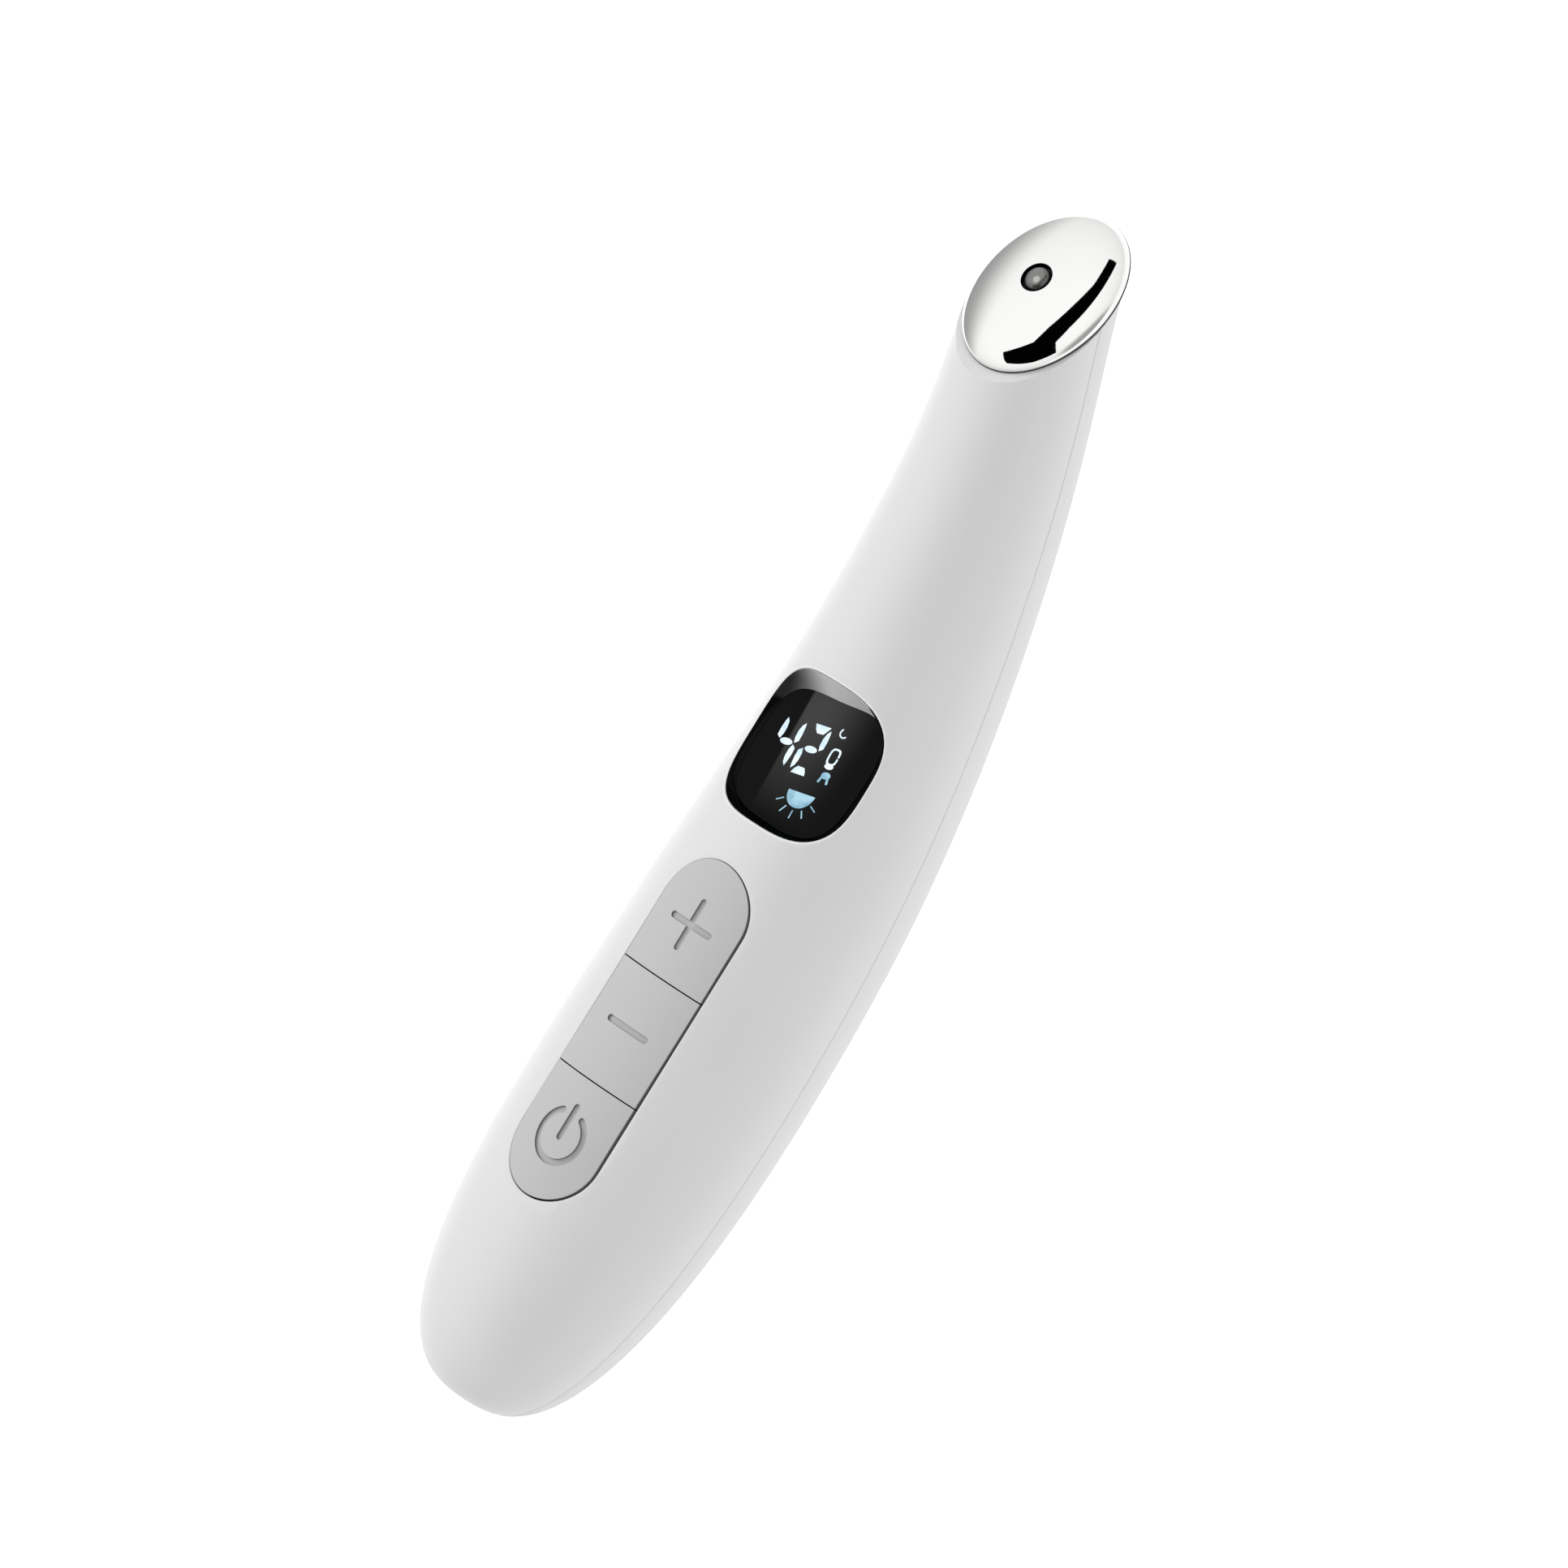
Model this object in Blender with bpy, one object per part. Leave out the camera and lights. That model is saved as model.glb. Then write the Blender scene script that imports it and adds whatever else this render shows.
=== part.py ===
"""A heated, vibrating eye and face massage wand with a lit display and three keys.

The wand lies on its back: +Z is the front with the display and keys, +Y runs towards the metal
head and +X is the right side seen from the front. The origin is on the small flat land that the
wand rests on. All sizes are in metres. Heights of inner parts are given from the axis of the
handle, which runs AXIS_HEIGHT above the rest land.
"""

import math

import bmesh
import bpy
import numpy as np
from mathutils import Matrix, Vector

# Metal head, on an oblique plane across the end of the neck
HEAD_Y = 0.090
HEAD_RISE = 0.0158
HEAD_TILT = math.radians(16)
HEAD_HALF_WIDTH = 0.0091
HEAD_HALF_LENGTH = 0.01105
HEAD_DOME = 0.0031
HEAD_METAL = 0.0008
LENS_HOLE_RADIUS = 0.0019
LENS_RADIUS = 0.0015
CARRIER_THICKNESS = 0.0024
CARRIER_GAP = 0.0017
CARRIER_SHORTER = 0.00025
HEAD_DOME_POWER = 1.1
LENS_RING_RADIUS = 0.0029
LENS_RING_THICKNESS = 0.0006
LENS_RING_DROP = 0.0001
LENS_FOOT = 0.0014
LENS_SHOULDER_DROP = 0.0003
LENS_CROWN = 0.0006
HEAD_BOARD_RADIUS = 0.0029
HEAD_BOARD_THICKNESS = 0.0006
LED_SIZE = (0.0028, 0.0022, 0.0005)
LED_HEIGHT = 0.00085
FILM_HALF_WIDTH = 0.0062
FILM_HALF_LENGTH = 0.0078
FILM_HOLE_RADIUS = 0.0033
FILM_THICKNESS = 0.0002
SENSOR_SIZE = (0.0016, 0.0008, 0.0008)
SENSOR_FROM_MIDDLE = 0.0052
SENSOR_HEIGHT = 0.0009
SENSOR_BEVEL = 0.0002

# Handle: its widest section, its blunt tail and the neck that bends forward to the head
WIDEST_Y = -0.005
HALF_WIDTH = 0.0164
FRONT_DEPTH = 0.0125
TAIL_LENGTH = 0.0462
TAIL_RISE = 0.003
TAIL_BEND_PLACE = 0.54
TAIL_BEND_RISE = 0.46
TAIL_WIDTH_POWERS = (2.7, 2.8)
TAIL_DEPTH_POWERS = (2.5, 2.6)
# Neck sections: distance from the widest section, half width, front depth, back depth, rise of the axis
NECK_SECTIONS = (
    (0.021, 0.0156, 0.01235, 0.01265, -0.00025),
    (0.041, 0.01375, 0.0115, 0.0117, 0.00055),
    (0.061, 0.01165, 0.0103, 0.0104, 0.00365),
    (0.081, 0.00985, 0.0087, 0.0088, 0.0095),
    (0.095, HEAD_HALF_WIDTH + 0.0001, 0.0083, 0.0083, 0.0159),
    (0.106, HEAD_HALF_WIDTH, 0.0083, 0.0083, 0.0214),
)

# Shells
SIDE_WALL = 0.0015
FACE_WALL = 0.0016
BACK_WALL = 0.0018
TAIL_WALL = 0.0065
PARTING_GAP = 0.0003
LIP_THICKNESS = 0.0007
LIP_HEIGHT = 0.0013
FIT_GAP = 0.0003
# The shells are drawn out past the head by this share of its half length, and cut off at its seat
NECK_OVERRUN = 1.3
# The block under the wand that cuts the rest land, and how far along the wand its middle is
REST_CUT_SIZE = (0.05, 0.12, 0.01)
REST_CUT_Y = 0.01

# Display window
WINDOW_FROM_KEYPAD = 0.0365
WINDOW_HALF_WIDTH = 0.0091
WINDOW_HALF_LENGTH = 0.00915
WINDOW_POWER = 3.2
WINDOW_TILT = math.radians(4)
GLASS_SET_BACK = 0.00036
GLASS_THICKNESS = 0.001
BEZEL_EDGE = 0.0003
BEZEL_SLOPE_SIDE = 0.0011
BEZEL_SLOPE_TOP = 0.0021
BEZEL_SLOPE_BOTTOM = 0.0004
BEZEL_DROP = 0.00005
GLASS_INSET = 0.0001
GASKET_OUTER_SHARE = 0.86
GASKET_INNER_SHARE = 0.76
GASKET_THICKNESS = 0.0006
MODULE_THICKNESS = 0.0012
MODULE_WIDTH_SHARE = 0.73
MODULE_LENGTH_SHARE = 0.68

# Keys
KEYPAD_FROM_TAIL = 0.0462
KEYPAD_HALF_WIDTH = 0.00655
KEYPAD_LENGTH = 0.0436
KEY_GAP = 0.0003
KEY_THICKNESS = 0.002
KEY_TRAVEL = 0.0004
STEM_RADIUS = 0.0013
PLUS_MINUS_LINE = 0.0069
MINUS_POWER_LINE = -0.007
SWITCH_SIDE = 0.0045
SWITCH_HEIGHT = 0.003
NUB_RADIUS = 0.001
NUB_HEIGHT = 0.0005
# The two end keys are drawn round their ends up to this many degrees, which leaves a short straight tip
KEY_END_SWEEP = 84

# Circuit board and its screws
BOARD_THICKNESS = 0.0012
BOARD_HALF_WIDTH = 0.008
BOARD_PAST_WINDOW = 0.0105
BOARD_END_MARGIN = 0.001
SCREW_RADIUS = 0.0008
SCREW_HEAD_RADIUS = 0.0016
SCREW_HEAD_HEIGHT = 0.001
SCREW_LENGTH = 0.005
BOARD_HOLE_LENGTH = 0.004
POST_RADIUS = 0.0021
CHIP_SIDE = 0.004
CHIP_HEIGHT = 0.0009
CHIP_FROM_KEYPAD = 0.007

# Battery
CELL_RADIUS = 0.005
CELL_LENGTH = 0.044
CELL_PAST_SCREW = 0.0013
TRAY_THICKNESS = 0.0007
TRAY_LENGTH = 0.028
POST_TO_KEYPAD = 0.001
REST_TRIM = 0.0001

# Charging port in the tail
PORT_HEIGHT = -0.0022
PORT_LAND_INSET = 0.005
PORT_LAND_HALF_WIDTH = 0.0066
PORT_LAND_HALF_HEIGHT = 0.003
PORT_WIDTH = 0.00894
PORT_THICKNESS = 0.0032
PORT_LENGTH = 0.0073
PORT_SLOT_DEPTH = 0.016
PORT_SLOT_MIDDLE = 0.006
PORT_METAL = 0.0003
TONGUE_WIDTH = 0.0067
TONGUE_THICKNESS = 0.0007
TONGUE_SET_BACK = 0.0005
CHARGE_BOARD_LENGTH = 0.008
CHARGE_BOARD_OVERLAP = 0.0015
CHARGE_BOARD_WIDTH = 0.012
CHARGE_BOARD_THICKNESS = 0.001

# Vibration motor in the neck
MOTOR_Y = 0.066
MOTOR_RADIUS = 0.003
MOTOR_LENGTH = 0.011
MOTOR_CAP_LENGTH = 0.001
MOTOR_CAP_INSET = 0.0003
MOTOR_SLOPE_REACH = 0.004
SHAFT_RADIUS = 0.0005
SHAFT_LENGTH = 0.0045
WEIGHT_RADIUS = 0.0025
WEIGHT_LENGTH = 0.003
CRADLE_THICKNESS = 0.001
CRADLE_LENGTH = 0.007

LEAD_RADIUS = 0.00035
LEAD_SPREAD = 0.003
MOTOR_LEAD_SPREAD = 0.0013
MOTOR_LEAD_BOW = 0.001
RIBBON_WIDTH = 0.004
RIBBON_THICKNESS = 0.0002
RIBBON_RISE = 0.0044
RIBBON_FROM_HEAD = 0.0115
RIBBON_FROM_BOARD = 0.001

ARC_STEPS = 18
TAIL_STEPS = 10
NECK_STEPS = 18
OUTLINE_STEPS = 32
LEAD_POINTS = 10
SHARP_ANGLE = math.radians(35)
MERGE_DISTANCE = 1e-7


def clear_scene():
    for obj in list(bpy.data.objects):
        bpy.data.objects.remove(obj, do_unlink=True)


def plain_material(name, color, roughness, metallic=0.0):
    material = bpy.data.materials.new(name)
    material.use_nodes = True
    shader = material.node_tree.nodes["Principled BSDF"]
    shader.inputs["Base Color"].default_value = (*color, 1.0)
    shader.inputs["Roughness"].default_value = roughness
    shader.inputs["Metallic"].default_value = metallic
    return material


def natural_spline(xs, ys):
    """A smooth curve through the given points, straight beyond its two ends."""
    xs = np.array(xs, float)
    ys = np.array(ys, float)
    count = len(xs)
    step = np.diff(xs)
    system = np.eye(count)
    right = np.zeros(count)
    for i in range(1, count - 1):
        system[i, i - 1 : i + 2] = step[i - 1], 2 * (step[i - 1] + step[i]), step[i]
        right[i] = 6 * ((ys[i + 1] - ys[i]) / step[i] - (ys[i] - ys[i - 1]) / step[i - 1])
    bend = np.linalg.solve(system, right)

    def curve(x):
        i = int(np.clip(np.searchsorted(xs, x) - 1, 0, count - 2))
        before, after = xs[i + 1] - x, x - xs[i]
        h = step[i]
        curved = (bend[i] * before**3 + bend[i + 1] * after**3) / (6 * h)
        straight = (ys[i] / h - bend[i] * h / 6) * before + (ys[i + 1] / h - bend[i + 1] * h / 6) * after
        return float(curved + straight)

    return curve


def tail_share(share_of_length, powers):
    """How much of the widest size is left at a share of the tail's length, for a blunt round end."""
    inner, outer = powers
    return max(0.0, 1 - min(1.0, share_of_length) ** inner) ** (1 / outer)


# Places along the handle, from the tail forwards
TAIL_TIP_Y = WIDEST_Y - TAIL_LENGTH
PORT_LAND_Y = TAIL_TIP_Y + PORT_LAND_INSET
PORT_BACK_Y = PORT_LAND_Y + FIT_GAP + PORT_LENGTH
CHARGE_BOARD_Y = PORT_BACK_Y - CHARGE_BOARD_OVERLAP + CHARGE_BOARD_LENGTH / 2
KEYPAD_Y = TAIL_TIP_Y + KEYPAD_FROM_TAIL
WINDOW_Y = KEYPAD_Y + WINDOW_FROM_KEYPAD
TAIL_SCREW_Y = KEYPAD_Y - KEYPAD_LENGTH / 2 - POST_TO_KEYPAD - POST_RADIUS
NECK_SCREW_Y = (KEYPAD_Y + KEYPAD_LENGTH / 2 + WINDOW_Y - WINDOW_HALF_LENGTH) / 2
SCREW_YS = (TAIL_SCREW_Y, NECK_SCREW_Y)
BOARD_TAIL_Y = TAIL_SCREW_Y - SCREW_HEAD_RADIUS - BOARD_END_MARGIN
BOARD_NECK_Y = WINDOW_Y + BOARD_PAST_WINDOW
CELL_TAIL_Y = TAIL_SCREW_Y + SCREW_HEAD_RADIUS + CELL_PAST_SCREW

NECK_YS = [WIDEST_Y] + [WIDEST_Y + place for place, *_ in NECK_SECTIONS]
neck_width = natural_spline(NECK_YS, [HALF_WIDTH] + [wide for _, wide, *_ in NECK_SECTIONS])
neck_front = natural_spline(NECK_YS, [FRONT_DEPTH] + [front for _, _, front, _, _ in NECK_SECTIONS])
axis_rise = natural_spline(
    [TAIL_TIP_Y, WIDEST_Y - TAIL_LENGTH * TAIL_BEND_PLACE] + NECK_YS,
    [TAIL_RISE, TAIL_RISE * TAIL_BEND_RISE, 0.0] + [rise for *_, rise in NECK_SECTIONS],
)

# Heights above the handle's axis: the window hangs from the front, the board from the window
# and the cell from the board, and the back is deep enough for the cell
WINDOW_RIM_SHARE = (WINDOW_HALF_WIDTH - FIT_GAP) / neck_width(WINDOW_Y)
WINDOW_HEIGHT = (
    axis_rise(WINDOW_Y) + neck_front(WINDOW_Y) * math.sqrt(1 - WINDOW_RIM_SHARE**2) - GLASS_SET_BACK
)
MODULE_HALF_LENGTH = (WINDOW_HALF_LENGTH - FIT_GAP) * MODULE_LENGTH_SHARE
MODULE_FOOT = WINDOW_HEIGHT - GLASS_THICKNESS - GASKET_THICKNESS - MODULE_THICKNESS - 3 * FIT_GAP
BOARD_TOP = MODULE_FOOT - MODULE_HALF_LENGTH * math.tan(WINDOW_TILT) - FIT_GAP * 1.5
SCREW_HEAD_FOOT = BOARD_TOP - BOARD_THICKNESS - FIT_GAP - SCREW_HEAD_HEIGHT
CELL_HEIGHT = SCREW_HEAD_FOOT - FIT_GAP - CELL_RADIUS
CELL_END_SHARE = tail_share((WIDEST_Y - CELL_TAIL_Y) / (TAIL_LENGTH - TAIL_WALL), TAIL_DEPTH_POWERS)
CELL_FOOT_DEPTH = CELL_RADIUS - CELL_HEIGHT + axis_rise(CELL_TAIL_Y) + FIT_GAP
BACK_DEPTH = CELL_FOOT_DEPTH / CELL_END_SHARE + BACK_WALL
AXIS_HEIGHT = BACK_DEPTH - REST_TRIM
neck_back = natural_spline(NECK_YS, [BACK_DEPTH] + [back for _, _, _, back, _ in NECK_SECTIONS])


def axis_z(y):
    return AXIS_HEIGHT + axis_rise(y)


def section(y, side_inset=0.0, face_inset=0.0, back_inset=0.0, tail_inset=0.0):
    """Half width, front depth and back depth of the handle at y, each drawn in by its inset."""
    if y >= WIDEST_Y:
        return neck_width(y) - side_inset, neck_front(y) - face_inset, neck_back(y) - back_inset
    share = (WIDEST_Y - y) / (TAIL_LENGTH - tail_inset)
    wide = tail_share(share, TAIL_WIDTH_POWERS) * (HALF_WIDTH - side_inset)
    deep = tail_share(share, TAIL_DEPTH_POWERS)
    return wide, (FRONT_DEPTH - face_inset) * deep, (BACK_DEPTH - back_inset) * deep


def front_z(x, y):
    """Height of the handle's front surface."""
    wide, deep, _ = section(y)
    return axis_z(y) + deep * math.sqrt(max(0.0, 1 - (x / wide) ** 2))


HEAD_FRAME = Matrix.Translation((0, HEAD_Y, AXIS_HEIGHT + HEAD_RISE)) @ Matrix.Rotation(-HEAD_TILT, 4, "X")
WINDOW_FRAME = Matrix.Translation((0, WINDOW_Y, AXIS_HEIGHT + WINDOW_HEIGHT)) @ Matrix.Rotation(
    -WINDOW_TILT, 4, "X"
)
MOTOR_CLIMB = axis_z(MOTOR_Y + MOTOR_SLOPE_REACH) - axis_z(MOTOR_Y - MOTOR_SLOPE_REACH)
MOTOR_SLOPE = math.atan(MOTOR_CLIMB / (2 * MOTOR_SLOPE_REACH))
MOTOR_FRAME = Matrix.Translation((0, MOTOR_Y, axis_z(MOTOR_Y))) @ Matrix.Rotation(MOTOR_SLOPE, 4, "X")


def add_object(name, bm, material, frame=None, origin=None, smooth=True):
    """Makes a closed mesh the object of one sub-part, placed in its frame."""
    bmesh.ops.remove_doubles(bm, verts=bm.verts, dist=MERGE_DISTANCE)
    bmesh.ops.dissolve_degenerate(bm, edges=bm.edges, dist=MERGE_DISTANCE)
    bmesh.ops.recalc_face_normals(bm, faces=bm.faces)
    if origin is not None:
        bmesh.ops.translate(bm, verts=bm.verts, vec=-Vector(origin))
    mesh = bpy.data.meshes.new(name)
    bm.to_mesh(mesh)
    bm.free()
    if smooth:
        mesh.shade_smooth()
        mesh.set_sharp_from_angle(angle=SHARP_ANGLE)
    obj = bpy.data.objects.new(name, mesh)
    bpy.context.scene.collection.objects.link(obj)
    if material is not None:
        mesh.materials.append(material)
    if origin is not None:
        obj.location = origin
    if frame is not None:
        obj.matrix_world = frame
    return obj


def combine(obj, tool, operation):
    """Cuts or joins a helper shape, which is then left out of the model."""
    tool.hide_render = True
    tool.display_type = "WIRE"
    modifier = obj.modifiers.new(tool.name, "BOOLEAN")
    modifier.operation = operation
    modifier.solver = "EXACT"
    modifier.object = tool


def loft(loops, close_ends=True):
    """A surface through loops with the same number of points each."""
    bm = bmesh.new()
    rings = [[bm.verts.new(point) for point in loop] for loop in loops]
    count = len(rings[0])
    for near, far in zip(rings, rings[1:]):
        for i in range(count):
            j = (i + 1) % count
            bm.faces.new((near[i], near[j], far[j], far[i]))
    if close_ends:
        bm.faces.new(rings[0])
        bm.faces.new(rings[-1])
    return bm


def ring_loft(loops):
    """A surface through loops that comes back to the first, like a picture frame."""
    return loft(list(loops) + [loops[0]], close_ends=False)


def box(name, size, centre, material, frame=None, bevel=0.0):
    bm = bmesh.new()
    bmesh.ops.create_cube(bm, size=1.0)
    bmesh.ops.scale(bm, verts=bm.verts, vec=size)
    bmesh.ops.translate(bm, verts=bm.verts, vec=centre)
    if bevel:
        bmesh.ops.bevel(bm, geom=bm.edges, offset=bevel, segments=1, affect="EDGES")
    return add_object(name, bm, material, frame, smooth=False)


def cylinder(name, radius, length, centre, axis, material, frame=None, sides=20):
    bm = bmesh.new()
    bmesh.ops.create_cone(bm, cap_ends=True, segments=sides, radius1=radius, radius2=radius, depth=length)
    turn = Vector((0, 0, 1)).rotation_difference(Vector(axis)).to_matrix()
    bmesh.ops.rotate(bm, verts=bm.verts, matrix=turn)
    bmesh.ops.translate(bm, verts=bm.verts, vec=centre)
    return add_object(name, bm, material, frame)


def prism(name, outline, low, high, material=None, axis="Z"):
    """An outline raised along an axis from low to high."""
    if axis == "Z":
        loops = [[(x, y, level) for x, y in outline] for level in (low, high)]
    else:
        loops = [[(x, level, z) for x, z in outline] for level in (low, high)]
    return add_object(name, loft(loops), material)


def squircle(half_width, half_length, centre=(0.0, 0.0), steps=OUTLINE_STEPS):
    """A rounded square outline."""
    points = []
    for i in range(steps):
        turn = 2 * math.pi * i / steps
        c, s = math.cos(turn), math.sin(turn)
        reach = (abs(c) ** WINDOW_POWER + abs(s) ** WINDOW_POWER) ** (-1 / WINDOW_POWER)
        points.append((centre[0] + half_width * c * reach, centre[1] + half_length * s * reach))
    return points


def stadium(half_width, half_length, centre, steps=12, upright=True):
    """A slot outline with round ends, along its second axis or, lying down, along its first."""
    straight = abs(half_length - half_width)
    radius = min(half_width, half_length)
    points = []
    for end in (1, -1):
        for i in range(steps + 1):
            turn = math.pi * i / steps
            if upright:
                x, y = end * radius * math.cos(turn), end * (straight + radius * math.sin(turn))
            else:
                x, y = end * (straight + radius * math.sin(turn)), -end * radius * math.cos(turn)
            points.append((centre[0] + x, centre[1] + y))
    return points


def ellipse(half_width, half_length, level, steps=OUTLINE_STEPS):
    turns = [2 * math.pi * i / steps for i in range(steps)]
    return [(half_width * math.cos(turn), half_length * math.sin(turn), level) for turn in turns]


def disc(name, half_width, half_length, low, high, material, frame):
    bm = loft([ellipse(half_width, half_length, low), ellipse(half_width, half_length, high)])
    return add_object(name, bm, material, frame)


def plate_ring(name, outer, inner, low, high, material, frame):
    """A flat ring between an outer and an inner ellipse, each given by its two half sizes."""
    loops = [ellipse(*outer, low), ellipse(*outer, high), ellipse(*inner, high), ellipse(*inner, low)]
    return add_object(name, ring_loft(loops), material, frame)


def tube(name, points, radius, material):
    """A wire along a smooth line through the given points."""
    curve = bpy.data.curves.new(name, "CURVE")
    curve.dimensions = "3D"
    curve.bevel_depth = radius
    curve.bevel_resolution = 1
    curve.use_fill_caps = True
    lengths = np.cumsum([0.0] + [(Vector(b) - Vector(a)).length for a, b in zip(points, points[1:])])
    parts = [natural_spline(lengths, [point[i] for point in points]) for i in range(3)]
    spline = curve.splines.new("POLY")
    spline.points.add(LEAD_POINTS - 1)
    for i in range(LEAD_POINTS):
        along = lengths[-1] * i / (LEAD_POINTS - 1)
        spline.points[i].co = (*[part(along) for part in parts], 1.0)
    obj = bpy.data.objects.new(name, curve)
    bpy.context.scene.collection.objects.link(obj)
    curve.materials.append(material)
    return obj


def stations(tail_inset):
    """Places of the sections along the handle, close together at the tail, on past the head plane."""
    inner, outer = TAIL_WIDTH_POWERS
    places = []
    for i in range(TAIL_STEPS):
        width_left = math.sin(math.pi / 2 * i / TAIL_STEPS)
        share = (1 - width_left**outer) ** (1 / inner)
        places.append(WIDEST_Y - (TAIL_LENGTH - tail_inset) * share)
    reach = HEAD_Y + HEAD_HALF_LENGTH * NECK_OVERRUN - WIDEST_Y
    places += [WIDEST_Y + reach * i / NECK_STEPS for i in range(NECK_STEPS + 1)]
    return places


def half_arc(y, side, insets):
    """Points across one half of a section, front for side 1 and back for side -1, from +X round to -X."""
    wide, front, back = section(y, *insets)
    deep = front if side > 0 else back
    share = wide / HALF_WIDTH
    edge = PARTING_GAP / 2 * min(1.0, 4 * share)
    points = []
    for i in range(ARC_STEPS + 1):
        turn = math.pi * i / ARC_STEPS
        rise = edge + max(0.0, deep - edge) * math.sin(turn)
        points.append((wide * math.cos(turn), y, axis_z(y) + side * rise))
    return points


def cut_at_head(bm):
    """Trims a shell on the plane that the metal head sits on."""
    normal = HEAD_FRAME.to_3x3() @ Vector((0, 0, 1))
    seat = HEAD_FRAME @ Vector((0, 0, -FIT_GAP))
    geometry = bm.verts[:] + bm.edges[:] + bm.faces[:]
    bmesh.ops.bisect_plane(
        bm, geom=geometry, plane_co=seat, plane_no=normal, clear_outer=True, dist=MERGE_DISTANCE
    )
    rim = [edge for edge in bm.edges if edge.is_boundary]
    bmesh.ops.triangle_fill(bm, edges=rim, use_beauty=True, use_dissolve=False)


def front_shell(material):
    """The front half of the handle, open for the display and the keys, with two posts for the board."""
    insets = (SIDE_WALL, FACE_WALL, BACK_WALL, TAIL_WALL)
    loops = []
    for outer_y, inner_y in zip(stations(0.0), stations(TAIL_WALL)):
        outer = half_arc(outer_y, 1, ())
        inner = half_arc(inner_y, 1, insets)
        loops.append(outer + inner[::-1])
    bm = loft(loops)
    bmesh.ops.remove_doubles(bm, verts=bm.verts, dist=MERGE_DISTANCE)
    cut_at_head(bm)
    shell = add_object("front_shell", bm, material)
    deep = AXIS_HEIGHT + BOARD_TOP
    window = squircle(WINDOW_HALF_WIDTH, WINDOW_HALF_LENGTH, (0, WINDOW_Y))
    combine(shell, prism("window_opening", window, deep, deep + FRONT_DEPTH * 2), "DIFFERENCE")
    keypad = stadium(KEYPAD_HALF_WIDTH, KEYPAD_LENGTH / 2, (0, KEYPAD_Y))
    combine(shell, prism("keypad_opening", keypad, deep, deep + FRONT_DEPTH * 2), "DIFFERENCE")
    for y in SCREW_YS:
        foot = deep + FIT_GAP
        top = front_z(POST_RADIUS, y) - FACE_WALL / 2
        middle = (0, y, (foot + top) / 2)
        post = cylinder("post", POST_RADIUS, top - foot, middle, (0, 0, 1), None, sides=16)
        combine(shell, post, "UNION")
        hole_radius = SCREW_RADIUS + FIT_GAP
        hole = cylinder("post_hole", hole_radius, SCREW_LENGTH, (0, y, foot), (0, 0, 1), None, sides=12)
        combine(shell, hole, "DIFFERENCE")
    return shell


def back_shell(material):
    """The back half, with a lip that lines up the front half, the rest land and the charging port."""
    inset = SIDE_WALL + FIT_GAP + LIP_THICKNESS
    insets = (inset, FACE_WALL, BACK_WALL, TAIL_WALL)
    loops = []
    for outer_y, inner_y in zip(stations(0.0), stations(TAIL_WALL)):
        outer = half_arc(outer_y, -1, ())
        inner = half_arc(inner_y, -1, insets)
        share = inner[0][0] / (HALF_WIDTH - inset)
        lip_wide = inner[0][0] + LIP_THICKNESS * min(1.0, share)
        lip_low = inner[0][2]
        lip_high = lip_low + (LIP_HEIGHT + PARTING_GAP) * min(1.0, share)
        left = [
            (-lip_wide, inner_y, lip_low),
            (-lip_wide, inner_y, lip_high),
            (inner[-1][0], inner_y, lip_high),
        ]
        right = [(-x, y, z) for x, y, z in left[::-1]]
        loops.append(outer + left + inner[::-1] + right)
    bm = loft(loops)
    bmesh.ops.remove_doubles(bm, verts=bm.verts, dist=MERGE_DISTANCE)
    cut_at_head(bm)
    shell = add_object("back_shell", bm, material)
    floor = box("rest_cut", REST_CUT_SIZE, (0, REST_CUT_Y, -REST_CUT_SIZE[2] / 2), None)
    combine(shell, floor, "DIFFERENCE")
    port_z = AXIS_HEIGHT + PORT_HEIGHT
    land = stadium(PORT_LAND_HALF_HEIGHT, PORT_LAND_HALF_WIDTH, (0, port_z), upright=False)
    pocket = prism("port_land_cut", land, TAIL_TIP_Y - PORT_LAND_INSET * 2, PORT_LAND_Y, axis="Y")
    combine(shell, pocket, "DIFFERENCE")
    slot_size = (PORT_WIDTH + 2 * FIT_GAP, PORT_SLOT_DEPTH, PORT_THICKNESS + 2 * FIT_GAP)
    slot = box("port_slot_cut", slot_size, (0, PORT_LAND_Y + PORT_SLOT_MIDDLE, port_z), None)
    combine(shell, slot, "DIFFERENCE")
    return shell


def dome_height(x, y, half_width, half_length, dome):
    share = (x / half_width) ** 2 + (y / half_length) ** 2
    return dome * math.sqrt(max(0.0, 1 - share**HEAD_DOME_POWER))


def head_cap(material):
    """The domed metal cap, spun from thin sheet, with a hole for the light."""
    loops = []
    steps = 7
    for side in ("outside", "inside"):
        drawn_in = 0.0 if side == "outside" else HEAD_METAL
        half_width, half_length = HEAD_HALF_WIDTH - drawn_in, HEAD_HALF_LENGTH - drawn_in
        dome = HEAD_DOME - drawn_in
        rings = []
        for i in range(steps + 1):
            share = math.sin(math.pi / 2 * i / steps)
            ring = []
            wide = LENS_HOLE_RADIUS + (half_width - LENS_HOLE_RADIUS) * share
            long = LENS_HOLE_RADIUS + (half_length - LENS_HOLE_RADIUS) * share
            for x, y, _ in ellipse(wide, long, 0.0):
                ring.append((x, y, dome_height(x, y, half_width, half_length, dome)))
            rings.append(ring)
        loops += rings if side == "outside" else rings[::-1]
    return add_object("chrome_head_cap", ring_loft(loops), material, HEAD_FRAME)


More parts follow.
